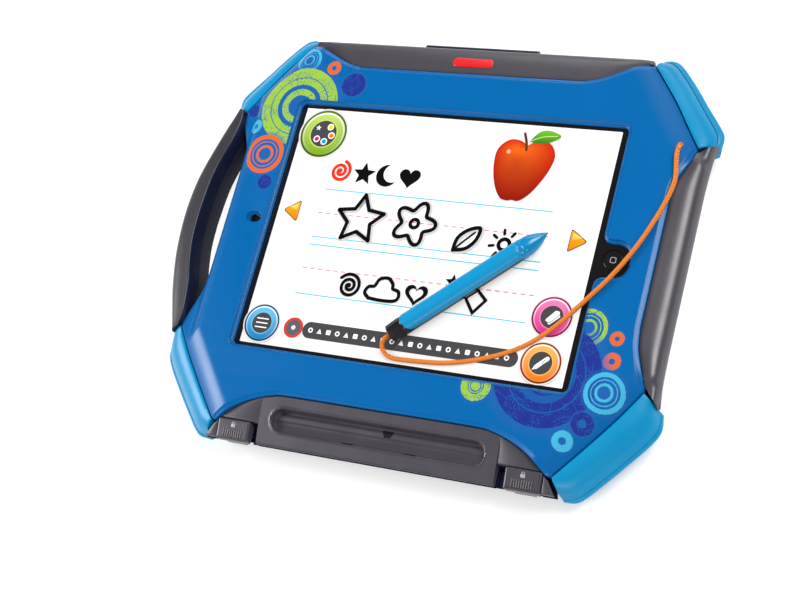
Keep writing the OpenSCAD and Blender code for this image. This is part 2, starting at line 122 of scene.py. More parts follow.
def lengths(path):
    """Distance along the path at each of its points."""
    return np.concatenate([[0], np.cumsum(np.linalg.norm(np.diff(path, axis=0), axis=1))])


def even(points, count, closed=False):
    """The line through the points, as count points with equal distances between them."""
    pts = np.array(points, float)
    if closed:
        pts = np.vstack([pts, pts[:1]])
    run = lengths(pts)
    where = np.linspace(0, run[-1], count + 1)[:-1] if closed else np.linspace(0, run[-1], count)
    return np.stack([np.interp(where, run, pts[:, k]) for k in range(pts.shape[1])], axis=1)


def unit(vectors):
    return vectors / np.maximum(np.linalg.norm(vectors, axis=1, keepdims=True), 1e-9)


def inset(loop, distance):
    """A closed loop that runs anticlockwise, moved inwards by a distance, or by one for each point."""
    pts = np.array(loop, float)
    ahead = unit(np.roll(pts, -1, axis=0) - pts)
    behind = unit(pts - np.roll(pts, 1, axis=0))
    mid = unit(ahead + behind)
    normal = np.stack([-mid[:, 1], mid[:, 0]], axis=1)
    cosine = np.clip((mid * ahead).sum(axis=1), 0.7, 1)
    reach = np.broadcast_to(np.asarray(distance, float), (len(pts),)) / cosine
    return pts + normal * reach[:, None]


def layers(loop, steps):
    """Rings for a stack: the loop moved inwards by each distance, with its height."""
    return [(inset(loop, distance), w) for distance, w in steps]


def round_rect(w, h, r, steps=8):
    out = []
    for cu, cv, start in ((1, -1, -90), (1, 1, 0), (-1, 1, 90), (-1, -1, 180)):
        for k in range(steps + 1):
            a = math.radians(start + 90 * k / steps)
            out.append((cu * (w / 2 - r) + r * math.cos(a), cv * (h / 2 - r) + r * math.sin(a)))
    return np.array(out)


def stadium(w, h, u=0.0, v=0.0):
    """Rectangle with round ends."""
    return round_rect(w, h, h / 2 - 0.001, 12) + (u, v)


def circle(u, v, r, count=48):
    angles = [2 * math.pi * k / count for k in range(count)]
    return np.array([(u + r * math.cos(a), v + r * math.sin(a)) for a in angles])


# Mesh building ----------------------------------------------------------------------------------
class Solid:
    """Points in millimetres and faces, joined ring by ring."""

    def __init__(self):
        self.points = []
        self.faces = []

    def ring(self, loop, w):
        first = len(self.points)
        for p in loop:
            height = w(p[0], p[1]) if callable(w) else w
            self.points.append((p[0], p[1], height))
        return list(range(first, len(self.points)))

    def join(self, a, b):
        n = len(a)
        for k in range(n):
            self.faces.append((a[k], a[(k + 1) % n], b[(k + 1) % n], b[k]))

    def stack(self, layers):
        """Rings from (loop, height) pairs, joined in order. It returns the first and the last ring."""
        rings = [self.ring(loop, w) for loop, w in layers]
        for a, b in zip(rings, rings[1:]):
            self.join(a, b)
        return rings[0], rings[-1]

    def closed(self, rings):
        """A stack with a cap at both ends."""
        for end in self.stack(rings):
            self.cap(end)

    def cap(self, outer, holes=()):
        loops = [outer] + list(holes)
        flat = [k for loop in loops for k in loop]
        lines = [[Vector((self.points[k][0], self.points[k][1], 0)) for k in loop] for loop in loops]
        for tri in tessellate_polygon(lines):
            self.faces.append(tuple(flat[t] for t in tri))

    def grid(self, rows):
        """Closed skin over rows of points with equal counts."""
        first = len(self.points)
        count, width = len(rows), len(rows[0])
        for row in rows:
            self.points += [tuple(p) for p in row]
        for i in range(count - 1):
            for j in range(width):
                a, b = first + i * width + j, first + i * width + (j + 1) % width
                self.faces.append((a, b, b + width, a + width))
        for start in (first, first + (count - 1) * width):
            self.faces.append(tuple(start + j for j in range(width)))

    def block(self, low, high):
        """Box between two corners."""
        loop = [(low[0], low[1]), (high[0], low[1]), (high[0], high[1]), (low[0], high[1])]
        self.closed([(loop, low[2]), (loop, high[2])])


def smooth(mesh, crease):
    """Smooth shading, apart from edges that turn by more than the crease in degrees."""
    mesh.polygons.foreach_set("use_smooth", [True] * len(mesh.polygons))
    mesh.set_sharp_from_angle(angle=math.radians(crease))


def piece(name, solid, finish, body, crease, replaces=(), parent=True):
    """Solid as an object, with the material of its finish."""
    mesh = bpy.data.meshes.new(name)
    mesh.from_pydata([at(*p) for p in solid.points], [], [f for f in solid.faces if len(set(f)) > 2])
    bm = bmesh.new()
    bm.from_mesh(mesh)
    bmesh.ops.remove_doubles(bm, verts=bm.verts, dist=1e-7)
    bmesh.ops.recalc_face_normals(bm, faces=bm.faces)
    bm.to_mesh(mesh)
    bm.free()
    mesh.validate()
    smooth(mesh, crease)
    mesh.materials.append(FINISH[finish])
    obj = shown(name, mesh)
    if parent:
        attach(obj, body)
    if replaces:
        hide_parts(*replaces)
    return obj


def round_down(distance, radius):
    """How far a rounded edge has dropped at a distance from its end."""
    d = np.clip(distance, 0, radius)
    return radius - np.sqrt(np.maximum(radius ** 2 - (radius - d) ** 2, 0))


def band(inner, outer, rows, skin, height):
    """Closed body between two open lines: skin is (share across, millimetres across, lift)."""
    a, b = even(inner, rows), even(outer, rows)
    run = lengths((a + b) / 2)
    grid = []
    for p, q, way, to_end in zip(a, b, unit(b - a), np.minimum(run, run[-1] - run)):
        spots = [(p * (1 - t) + q * t + way * mm, lift) for t, mm, lift in skin]
        grid.append([(spot[0], spot[1], height(spot[0], spot[1], lift, to_end)) for spot, lift in spots])
    solid = Solid()
    solid.grid(grid)
    return solid


def strip(inner, outer, skin, foot, base, rows, end_r=0.0):
    """Band on a flat foot, with its lifts measured from the base surface, rounded down at both ends."""
    def height(u, v, lift, to_end):
        if lift is None:
            return foot
        return max(base(u, v) + lift - round_down(to_end, end_r), foot + 0.05)

    return band(inner, outer, rows, ((0, 0, None), *skin, (1, 0, None)), height)


def lathe(solid, profile, centre, axis, side, count):
    """Turned body: profile is (distance along the axis, radius)."""
    axis, side = Vector(axis).normalized(), Vector(side).normalized()
    third = axis.cross(side)
    centre = Vector(centre)
    rows = []
    for along, radius in profile:
        row = []
        for k in range(count):
            a = 2 * math.pi * k / count
            way = side * math.cos(a) + third * math.sin(a)
            row.append(centre + axis * along + way * max(radius, 1e-4))
        rows.append(row)
    solid.grid(rows)


# Materials --------------------------------------------------------------------------------------
def rgb(r, g, b):
    """Linear colour from one in sRGB, 0 to 255."""
    out = []
    for c in (r, g, b):
        c = c / 255
        out.append(c / 12.92 if c <= 0.04045 else ((c + 0.055) / 1.055) ** 2.4)
    return (*out, 1.0)


def blended(a, b, share):
    return tuple(p * (1 - share) + q * share for p, q in zip(a, b))


def shaded(tone, share):
    return tuple(c * share for c in tone[:3]) + (1,)


class Paint:
    """A material with its nodes."""

    def __init__(self, name):
        self.material = bpy.data.materials.new(name)
        self.material.use_nodes = True
        self.nodes = self.material.node_tree.nodes
        self.links = self.material.node_tree.links
        coordinates = self.nodes.new("ShaderNodeTexCoord")
        self.place = coordinates.outputs["Object"]
        self.normal = coordinates.outputs["Normal"]

    def feed(self, sockets, values):
        """Link the outputs among the values, and set the plain ones."""
        for key, value in values.items():
            if hasattr(value, "is_output"):
                self.links.new(value, sockets[key])
            else:
                sockets[key].default_value = value

    def node(self, kind, values, **settings):
        n = self.nodes.new(kind)
        for key, value in settings.items():
            setattr(n, key, value)
        self.feed(n.inputs, values)
        return n

    def mix(self, factor, a, b, blend="MIX"):
        n = self.node("ShaderNodeMix", {0: factor, 6: a, 7: b}, data_type="RGBA", blend_type=blend)
        return n.outputs[2]

    def math(self, kind, a, b):
        return self.node("ShaderNodeMath", {0: a, 1: b}, operation=kind).outputs[0]

    def vector(self, kind, a, b):
        return self.node("ShaderNodeVectorMath", {0: a, 1: b}, operation=kind).outputs

    def part(self, vector, axis):
        return self.node("ShaderNodeSeparateXYZ", {0: vector}).outputs[axis]

    def noise(self, scale, detail=4.0, rough=0.5):
        values = {"Vector": self.place, "Scale": scale, "Detail": detail, "Roughness": rough}
        return self.node("ShaderNodeTexNoise", values).outputs["Fac"]

    def ramp(self, value, stops, constant=False):
        """Stops are (position, brightness)."""
        n = self.node("ShaderNodeValToRGB", {"Fac": value})
        n.color_ramp.interpolation = "CONSTANT" if constant else "LINEAR"
        elements = n.color_ramp.elements
        while len(elements) < len(stops):
            elements.new(0.5)
        for e, (position, tone) in zip(elements, stops):
            e.position = position
            e.color = (tone, tone, tone, 1)
        return n.outputs["Color"]

    def surface(self, color, rough, shine, others=None, bump=None):
        """The finished material: bump is (height, strength, distance)."""
        values = {"Base Color": color, "Roughness": rough, "Specular IOR Level": shine, **(others or {})}
        if bump:
            bumped = self.node("ShaderNodeBump", dict(zip(("Height", "Strength", "Distance"), bump)))
            values["Normal"] = bumped.outputs["Normal"]
        self.feed(self.nodes["Principled BSDF"].inputs, values)
        return self.material


def moulded(name, tone, rough, shine, varied=0.06, grain=9000.0, depth=0.12, shade_side=None):
    """Moulded plastic or rubber: colour and polish vary a little, over a fine grain.

    The shade side is a darker colour painted on the sides that face right, as painted shade.
    """
    paint = Paint(name)
    light = tuple(min(c * (1 + varied) + varied * 0.004, 1) for c in tone[:3]) + (1,)
    color = paint.mix(paint.noise(18.0), shaded(tone, 1 - varied), light)
    # Painted shade: sides whose normal points right turn to the darker colour.
    if shade_side:
        right = paint.ramp(paint.part(paint.normal, "X"), [(0.3, 0.0), (0.6, 1.0)])
        color = paint.mix(right, color, shade_side)
    polish = paint.ramp(paint.noise(60.0, 6.0), [(0.3, max(rough - 0.04, 0)), (0.7, min(rough + 0.04, 1))])
    return paint.surface(color, polish, shine, bump=(paint.noise(grain, 3.0), depth, 0.00004))


def metal(name, tone, rough):
    paint = Paint(name)
    color = paint.mix(paint.noise(300.0, 6.0), shaded(tone, 0.86), tone)
    polish = paint.ramp(paint.noise(900.0), [(0.3, rough - 0.07), (0.7, rough + 0.07)])
    return paint.surface(color, polish, 0.5, {"Metallic": 1.0}, (paint.noise(2500.0, 2.0), 0.1, 0.00003))


BLUE = rgb(0, 91, 154)
# Painted shade: dark navy for the case below a set height, where its recessed sides fall into shade.
RECESS_SHADE = rgb(5, 14, 40)
SKY = rgb(0, 130, 178)
LIME = rgb(140, 178, 62)
ORANGE_INK = rgb(200, 94, 50)
CYAN_INK = rgb(62, 162, 196)
INDIGO = rgb(30, 44, 128)
HALO = rgb(34, 86, 154)
# Patterns of the printed rings, from the middle outwards: share of the radius, and how inked it is.
TARGET = ((0, 0), (0.34, 1), (0.47, 0), (0.62, 1), (0.665, 0), (0.78, 1))
RING = ((0, 0), (0.4, 1))
DISC = ((0, 1), (0.36, 0.75), (0.42, 1))
WIDE = ((0, 0), (0.29, 1), (0.45, 0), (0.565, 1), (0.73, 0.1), (0.755, 1))
SPLIT = ((0, 0), (0.37, 1), (0.41, 0.25), (0.55, 1), (0.7, 0.35), (0.73, 1))
CORE = ((0, 1), (0.35, 0), (0.42, 1), (0.5, 0), (0.56, 1))
# Printed rings: middle right and up of the screen's middle, radius, pattern and ink.
PRINTS = (
    (-105.4, 103.9, 8.5, TARGET, CYAN_INK), (-102.9, 73.3, 25.0, WIDE, LIME),
    (-86.8, 99.4, 4.5, RING, ORANGE_INK),
    (-70.8, 89.4, 7.5, DISC, INDIGO), (-135.3, 70.0, 4.0, DISC, INDIGO), (-128.5, 58.3, 4.5, RING, CYAN_INK),
    (-116.4, 40.7, 12.5, TARGET, ORANGE_INK), (-110.9, 23.2, 4.5, DISC, INDIGO),
    (106.4, -40.1, 10.5, TARGET, LIME), (123.0, -44.1, 4.0, RING, ORANGE_INK),
    (123.0, -56.6, 4.8, RING, ORANGE_INK),
    (89.8, -68.2, 29.5, SPLIT, INDIGO), (122.5, -73.7, 11.0, TARGET, CYAN_INK),
    (114.6, -91.6, 6.0, RING, INDIGO), (106.1, -102.1, 5.5, RING, CYAN_INK), (52.2, -80.2, 8.5, CORE, LIME),
)
WORN = (LIME, INDIGO)
FACE_W = 3.5
# Prints lie above one height; below another the blue is painted dark navy, as painted shade of the recesses.
# Nothing this near the middle of the screen is printed, unless it is as high as the face. The normal of a
# level face points up by a share.
PRINT_LOW, SHADE_TOP, WINDOW_REACH, LEVEL = -2.2, -5.6, 134, 0.72
# Each print fades out into a halo that is this much wider.
HALO_SHARE = 1.25


def worn(paint):
    """Where the ink has stayed: specks and fine cracks are missing in patches."""
    speck = paint.ramp(paint.noise(1100.0, 4.0, 0.6), [(0.41, 0.0), (0.43, 1.0)])
    speckless = paint.ramp(paint.noise(110.0, 2.0), [(0.46, 1.0), (0.56, 0.0)])
    values = {"Vector": paint.place, "Scale": 150.0}
    cells = paint.node("ShaderNodeTexVoronoi", values, feature="DISTANCE_TO_EDGE")
    crack = paint.ramp(cells.outputs["Distance"], [(0.012, 0.0), (0.024, 1.0)])
    crackless = paint.ramp(paint.noise(170.0, 2.0), [(0.52, 1.0), (0.56, 0.0)])
    unspecked = paint.math("MAXIMUM", speck, speckless)
    return paint.math("MULTIPLY", unspecked, paint.math("MAXIMUM", crack, crackless))


def printed_case():
    """Blue case plastic with worn printed rings on its flat face."""
    paint = Paint("case blue")
    color = paint.mix(paint.noise(14.0), shaded(BLUE, 0.95), BLUE)
    height = paint.part(paint.place, "Z")
    flat = paint.vector("MULTIPLY", paint.place, (1, 1, 0))[0]

    def distance(u, v):
        spot = at(u, v)
        return paint.vector("DISTANCE", flat, (spot.x, spot.y, 0))["Value"]

    # Prints lie on level faces, and none on the walls of the window.
    face = paint.math("GREATER_THAN", height, at(0, 0, PRINT_LOW).z)
    face = paint.math("MULTIPLY", face, paint.math("GREATER_THAN", paint.part(paint.normal, "Z"), LEVEL))
    above = paint.math("GREATER_THAN", height, at(0, 0, FACE_W - 1.2).z)
    outside = paint.math("GREATER_THAN", distance(0, 0), WINDOW_REACH * MM)
    face = paint.math("MULTIPLY", face, paint.math("MAXIMUM", above, outside))
    stays = worn(paint)
    wobble = paint.math("MULTIPLY", paint.noise(900.0, 3.0), 0.0007)
    for u, v, radius, pattern, ink in PRINTS:
        reach = paint.math("ADD", distance(u, v), wobble)
        share = paint.math("DIVIDE", reach, (radius + 0.35) * MM * HALO_SHARE)
        halo = paint.ramp(share, [(0.86, 0.55), (0.98, 0.0)])
        color = paint.mix(paint.math("MULTIPLY", halo, face), color, HALO)
        stops = [(start / HALO_SHARE, tone) for start, tone in pattern] + [(1 / HALO_SHARE, 0.0)]
        mark = paint.math("MULTIPLY", paint.ramp(share, stops, True), face)
        if ink in WORN:
            mark = paint.math("MULTIPLY", mark, stays)
        color = paint.mix(mark, color, ink)
    # Painted shade: below this height the blue turns dark navy.
    low = paint.math("LESS_THAN", height, at(0, 0, SHADE_TOP).z)
    polish = paint.ramp(paint.noise(40.0, 5.0), [(0.3, 0.27), (0.7, 0.31)])
    bump = (paint.noise(7000.0, 2.0), 0.03, 0.00003)
    return paint.surface(paint.mix(low, color, RECESS_SHADE), polish, 0.26, bump=bump)


def woven(name, tone, shade):
    """Braided cord: diagonal yarns, darker where the bump sinks between them, as painted shade."""
    paint = Paint(name)
    values = {"Vector": paint.place, "Scale": 420.0, "Distortion": 1.5}
    waves = paint.node("ShaderNodeTexWave", values, wave_type="BANDS", bands_direction="DIAGONAL")
    wave = waves.outputs["Fac"]
    # Painted shade: the low parts of the wave, where the bump sinks, take the darker tone.
    yarn = paint.ramp(wave, [(0.2, 0.0), (0.8, 1.0)])
    mottle = paint.mix(paint.noise(700.0, 5.0), shaded(tone, 0.82), tone)
    return paint.surface(paint.mix(yarn, shade, mottle), 0.8, 0.15, bump=(wave, 0.5, 0.00015))


def lit_picture():
    """Lit screen: painted colours behind a fine pixel grid, with a little light from outside."""
    paint = Paint("screen picture")
    tint = paint.node("ShaderNodeAttribute", {}, attribute_name="tint").outputs["Color"]
    values = {"Vector": paint.place, "Scale": 4000.0, "Color1": (1, 1, 1, 1),
              "Color2": (0.985, 0.985, 0.985, 1), "Mortar": (0.97, 0.97, 0.97, 1)}
    pixels = paint.node("ShaderNodeTexBrick", values).outputs["Color"]
    color = paint.mix(1.0, tint, pixels, "MULTIPLY")
    glow = {"Emission Color": color, "Emission Strength": 0.5}
    return paint.surface(paint.mix(0.5, color, (0, 0, 0, 1)), 0.4, 0.0, glow)


def pale_floor():
    paint = Paint("floor")
    tone = paint.mix(paint.noise(3.0), (0.78, 0.78, 0.78, 1), (0.8, 0.8, 0.8, 1))
    return paint.surface(tone, 0.9, 0.0, {"Emission Color": (1, 1, 1, 1), "Emission Strength": 0.32})


FINISH = {
    "case_blue": printed_case(),
    "bumper_blue": moulded("bumper blue", SKY, 0.36, 0.3, 0.05),
    "charcoal": moulded("charcoal rubber", rgb(62, 58, 66), 0.36, 0.6, 0.08, 5000.0, 0.08),
    # The handle's sides that face right get painted shade, dark navy.
    "handle": moulded("handle rubber", rgb(48, 46, 52), 0.34, 0.6, 0.08, 5000.0, 0.08, shade_side=rgb(14, 18, 40)),
    "badge_red": moulded("badge red", rgb(208, 22, 30), 0.3, 0.5, 0.06),
    "dark_plastic": moulded("dark plastic", rgb(24, 27, 44), 0.45, 0.4, 0.1),
    "cord_orange": woven("braided cord", rgb(236, 142, 64), rgb(184, 92, 28)),
    "steel": metal("steel", (0.62, 0.62, 0.63, 1), 0.32),
    "rubber": moulded("foot rubber", rgb(30, 30, 32), 0.8, 0.25, 0.15, 3500.0, 0.4),
    "aluminium": metal("aluminium", (0.75, 0.76, 0.77, 1), 0.38),
    "cover_glass": moulded("cover glass", rgb(20, 18, 19), 0.1, 0.4, 0.1, 200.0, 0.0),
    "display": moulded("display back", rgb(190, 190, 196), 0.4, 0.4, 0.05),
    "battery": moulded("battery foil", rgb(38, 38, 42), 0.55, 0.4, 0.2, 2500.0, 0.3),
    "board": moulded("circuit board", rgb(18, 84, 52), 0.4, 0.4, 0.25, 1500.0, 0.5),
    "lens_black": moulded("lens", rgb(12, 12, 18), 0.1, 0.6, 0.2),
    "gold": metal("gold plate", (0.9, 0.66, 0.26, 1), 0.3),
    "button_black": moulded("button", rgb(16, 15, 18), 0.25, 0.45, 0.15),
    "stylus_blue": moulded("stylus blue", rgb(0, 134, 184), 0.36, 0.4, 0.05),
    "stylus_nib": moulded("stylus tip", rgb(0, 126, 178), 0.24, 0.5, 0.05, 4000.0, 0.05),
    "stylus_black": moulded("stylus black", rgb(14, 14, 22), 0.32, 0.5, 0.15),
    "icon": moulded("button mark", rgb(150, 148, 152), 0.4, 0.4, 0.1),
    "sleeve": moulded("sleeve blue", rgb(0, 92, 160), 0.4, 0.4, 0.06),
    # Near black, painted shade for openings that are dark only from the shade inside them.
    "seam_dark": moulded("shadow plastic", rgb(10, 10, 14), 0.7, 0.2, 0.2),
}

# Cords: the tether runs over the bezel and the glass to the stylus ------------------------------
CORD_D = 2.6
UPPER_ROUTE = (
    (132.6, 69, 1.4), (132.6, 67, 3.2), (132.8, 63.6, 5.4), (133.3, 59.4, 6.3), (134.2, 53.6, 5.8),
    (134.9, 47.2, 5), (134.1, 40.2, 4.9), (132.3, 33.2, 4.9), (130.1, 26.2, 4.9), (127.3, 18.7, 4.9),
    (124.3, 11.2, 4.9), (120.8, 3.7, 5), (116.8, -3.8, 5), (112.8, -10.3, 4.9), (108.6, -16.6, 4.9),
    (104.2, -22.3, 4.8), (100, -27.2, 3.8), (96, -31.2, 2.4), (91.8, -36, 1.6), (87.4, -41, 1.4),
    (82.2, -46.4, 1.4), (76.2, -51.6, 1.4), (69.7, -56, 1.4), (62.1, -60.1, 1.4), (54.1, -63.3, 1.4),
    (45.1, -66.3, 1.4), (36, -68.6, 1.4), (27, -70.1, 1.4), (18, -70.8, 1.4))
LOWER_ROUTE = (
    (18, -70.8, 1.4), (10, -71.2, 1.4), (3, -71.4, 1.4), (-1.5, -71.1, 1.4), (-5, -69.8, 1.6),
    (-7.4, -67.4, 2.4), (-8.1, -64.6, 3.6), (-7, -62.3, 4.9), (-5.6, -61.1, 5.7), (-4.1, -59.7, 6))
YARNS = 8
YARN_TURN = 2.4
BRAID_SIDES = 32


def braid(path):
    """Braided tube along a path: two families of yarns cross over one another."""
    solid = Solid()
    tangents = unit(np.gradient(path, axis=0))
    side = np.cross(tangents[0], (0, 0, 1.0))
    rows = []
    for p, t, s in zip(path, tangents, lengths(path)):
        side = side - t * np.dot(side, t)
        side /= np.linalg.norm(side)
        up = np.cross(t, side)
        row = []
        for k in range(BRAID_SIDES):
            a = 2 * math.pi * k / BRAID_SIDES
            one = math.cos(YARNS * a / 2 + YARN_TURN * s)
            two = math.cos(YARNS * a / 2 - YARN_TURN * s)
            r = CORD_D / 2 * (0.94 + 0.06 * max(abs(one), abs(two)))
            row.append(p + r * (side * math.cos(a) + up * math.sin(a)))
        rows.append(row)
    solid.grid(rows)
    return solid


def tether(name, route, node):
    fine = curve(route, 16)
    length = float(lengths(fine)[-1])
    path = even(fine, int(length / 0.35))
    obj = piece(name, braid(path), "cord_orange", None, 60, (node,), parent=False)
    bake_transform(obj)


tether("tether_upper", UPPER_ROUTE, "cord_upper")
tether("tether_lower", LOWER_ROUTE, "cord_lower")

# Outlines of the case, right half ---------------------------------------------------------------
TOP_SEAM = (
    (0, 101.8), (64, 101.8), (72, 102.4), (80, 104.5), (90, 109), (99, 113.5), (104.4, 115.4))
TOP_CORNER = (
    (107.2, 115.2), (111.5, 110.1), (123, 95.5), (133, 80.3), (140.8, 68.6))
SIDE_TOP = (
    (133.4, 38), (134.2, 46), (136.8, 53), (139.6, 60), (140.8, 66))
SIDE_LOW = (
    (133.4, -36), (134.6, -46), (137, -54), (139.8, -61.5), (141.4, -66.6))
LOW_CORNER = (
    (141.4, -69), (131, -84.7), (117.5, -102.5), (103, -120.6))
LOW_SEAM = (
    (0, -101.8), (55, -101.8), (68, -103.2), (80, -107.2), (90, -112.6), (100.2, -120.6))
TOP_BUMPER = (
    (108.6, 122.8), (114.0, 123.6), (119.4, 121.2), (129.0, 110.6), (139.2, 97.4), (149, 85), (151.6, 79.8),
    (151.2, 73.4))
LOW_BUMPER = (
    (150.4, -76), (151.4, -84.6), (147.6, -92.4), (138.6, -104), (127.4, -117.4), (117, -128.4),
    (108.4, -130))
GRIP_OUT = (
    (-146.6, 71.2), (-152.9, 54.4), (-160.1, 29.1), (-162.6, 12), (-162.9, -5), (-160.8, -26),
    (-156.2, -46.5), (-151.2, -61.4), (-147, -73.2))
GRIP_IN = (
    (-142.6, -69.8), (-142, -60.5), (-144.4, -42), (-147.8, -29.5), (-150.4, -16), (-151.3, -3),
    (-151.1, 9), (-150, 24.7), (-147.2, 37.5), (-144, 48.6), (-141.8, 61), (-142.2, 69.2))
SIDE_OUT = (
    (150.2, -75.3), (149.8, -66), (149.4, -56), (149.2, -46), (149.2, 46), (149.6, 56), (150.2, 66),
    (151.2, 72.8))
# Gap between pieces, then depths below the glass: seam of the two halves, side and flange.
GAP, SEAM_W, SIDE_W, FLANGE_W = 0.3, 9.0, 20.0, 6.7
FRAME_BACK = GAP / 2 - SEAM_W
# How far the bezel's skirt and the side grip stand back from the outline of the case.
FLANGE_IN, STEP_IN = 9.5, 0.9
CORNER_W, CORNER_END_R = 1.6, 1.2
# The grips start at this height beside the bezel and fall away from it.
GRIP_W, SLOPE, BEZEL_EDGE, SIDE_EDGE = 2.0, math.tan(math.radians(13)), 103.0, 134.0
# Width of the bezel's sloping rim, along its straight edges and at its corners.
RIM, CORNER_RIM = 2.6, 0.5
BEZEL_POINTS, BODY_POINTS = 900, 500
# Where the bezel face starts to round down: direction, distance from the middle and width.
ROUNDINGS = (
    (0.817, 0.576, 142.0, 13.0), (-0.817, 0.576, 142.0, 13.0), (0.802, -0.598, 142.0, 13.0),
    (-0.802, -0.598, 141.0, 14.0), (-1.0, 0.0, 124.6, 8.8))


def droop(u, v):
    """How far the bezel face has dropped near its corners and its left side."""
    share = max((u * a + v * b - start) / wide for a, b, start, wide in ROUNDINGS)
    return (FACE_W + CORNER_W) * min(max(share, 0), 1.04) ** 1.6


def slope_top(u, v):
    return GRIP_W - SLOPE * (v - BEZEL_EDGE)


def slope_low(u, v):
    return GRIP_W - SLOPE * (-v - BEZEL_EDGE)


def slope_side(u, v):
    return GRIP_W - SLOPE * (u - SIDE_EDGE)


def bezel_loop():
    """Bezel outline, with the width of its sloping rim at each point."""
    half = []
    for points, rim in ((LOW_SEAM, RIM), (back(LOW_CORNER), CORNER_RIM), (back(SIDE_LOW), RIM),
                        (SIDE_TOP, RIM), (back(TOP_CORNER), CORNER_RIM), (back(TOP_SEAM), RIM)):
        half += [(p[0], p[1], rim) for p in curve(points)]
    other = [(-p[0], p[1], p[2]) for p in reversed(half)]
    loop = even(half + other, BEZEL_POINTS, closed=True)
    rims = loop[:, 2]
    for _ in range(3):
        rims = (np.roll(rims, 1) + rims + np.roll(rims, -1)) / 3
    return loop[:, :2], rims


def body_loop(margin):
    """Outline of the whole case, moved inwards by a margin."""
    k = 1 - margin / 150
    right_low = [tuple(p * k) for p in curve(back(LOW_BUMPER))]
    right_top = [tuple(p * k) for p in curve(back(TOP_BUMPER))]
    left = shift(flip(curve(SIDE_TOP)) + flip(curve(back(SIDE_LOW))), margin, 0)
    low, top, side = margin - 129.4, 117.2 - margin, 147 - margin
    points = [(0, low), (108, low)] + right_low + [(side, -64), (side, 64)] + right_top + [(106, top)]
    points += [(-106, top)] + flip(right_top) + left + flip(right_low) + [(-108, low)]
    return even(points, BODY_POINTS, closed=True)


# Sizes of rounded rectangles: width, height and radius.
WINDOW, POCKET = (204, 152, 3), (242, 186.5, 9)


def window_loop():
    """Window in the bezel, with the thumb notch beside the home button."""
    notch = curve(((102, -17), (102.4, -13.8), (104.6, -11.2), (108.4, -10.5), (112.5, -10.4), (116.6, -8.6),
                   (118.8, -4.8), (119.2, -1), (118.8, 2.8), (116.6, 6.6), (112.5, 8.4), (108.4, 8.5),
                   (104.6, 9.2), (102.4, 11.8), (102, 15)), 8)
    box = round_rect(*WINDOW)
    return np.vstack([box[:9], notch, box[9:]])


# Eight-sided core of the bezel face, which stays flat. The face is flat up to a margin beyond it.
CORE_FACE = (
    (118.5, -66.8), (118.5, 66.3), (102.5, 89), (-102.5, 89), (-118.5, 66.3), (-118.5, -66.8), (-102, -89),
    (102, -89))
CORE_MARGIN = 5.9


def beside_core(p):
    """Point at the margin from the core, towards the given point."""
    best = None
    for a, b in zip(CORE_FACE, CORE_FACE[1:] + CORE_FACE[:1]):
        a, b = np.array(a, float), np.array(b, float)
        t = np.clip(np.dot(p - a, b - a) / np.dot(b - a, b - a), 0, 1)
        spot = a + (b - a) * t
        if best is None or np.linalg.norm(p - spot) < np.linalg.norm(p - best):
            best = spot
    way = p - best
    far = np.linalg.norm(way)
    return best + way / far * min(CORE_MARGIN, far * 0.95)


# Sections of the bezel, from outside: share of the rim, millimetres inwards, and depth below the face.
RIM_STEPS = (
    (0, 0, 1.75), (0, 0.06, 1.35), (0, 0.22, 1.02), (0.2, 0.3, 0.84), (0.72, 0, 0.5), (0.86, 0, 0.2),
    (1, 0, 0.04))
# Walls of the window and of the camera's dish: millimetres inwards and height.
WINDOW_STEPS = (
    (-2.5, FACE_W), (-2.3, FACE_W + 0.24), (-2.05, FACE_W + 0.28), (-1.85, FACE_W + 0.1),
    (-1.7, FACE_W - 0.35), (-1.25, 2.1), (-1.0, 1.95), (-0.7, 1.9), (-0.45, 1.7), (-0.25, 1.2), (0, 0.3))
DISH_STEPS = ((-0.6, FACE_W), (-0.2, FACE_W - 0.1), (0, FACE_W - 0.4), (0.3, 1.7), (0.6, 1.4))
KNUCKLES = ((-29.4, -14.4), (17.2, 28.0))
KNUCKLE_V, KNUCKLE_R, KNUCKLE_HOLE, KNUCKLE_ROUND = 121.4, 2.7, 1.25, 0.3


def bezel():
    def face(below):
        return lambda u, v: FACE_W - below - droop(u, v)

    solid = Solid()
    loop, rims = bezel_loop()
    edge = inset(loop, rims + 0.25)
    middle = np.array([beside_core(p) for p in edge])
    outer = [(loop, -FLANGE_W)]
    outer += [(inset(loop, rims * share + mm), face(below)) for share, mm, below in RIM_STEPS]
    outer += [(edge * (1 - t) + middle * t, face(0.0)) for t in np.linspace(0, 1, 13)]
    skirt_low, skirt_top = solid.stack(layers(body_loop(FLANGE_IN), ((0, FRAME_BACK), (0, -FLANGE_W))))
    outer_low, outer_top = solid.stack(outer)
    high, low = solid.stack(layers(window_loop(), WINDOW_STEPS))
    dish_high, dish_floor = solid.stack(layers(stadium(9.6, 6.4, -111.4, 0.9), DISH_STEPS))
    hole_high, hole_low = solid.stack(layers(stadium(7.6, 5.2, -110.6, 0.6), ((0, 1.4), (0, 0.3))))
    pocket_high, pocket_low = solid.stack(layers(round_rect(*POCKET), ((0, 0.3), (0, FRAME_BACK))))
    solid.cap(outer_top, [high, dish_high])
    solid.cap(dish_floor, [hole_high])
    solid.cap(pocket_high, [low, hole_low])
    solid.cap(skirt_low, [pocket_low])
    solid.cap(skirt_top, [outer_low])
    for start, end in KNUCKLES:
        knuckle(solid, start, end)
    piece("bezel", solid, "case_blue", "front_frame", 34, ("front_bezel",))


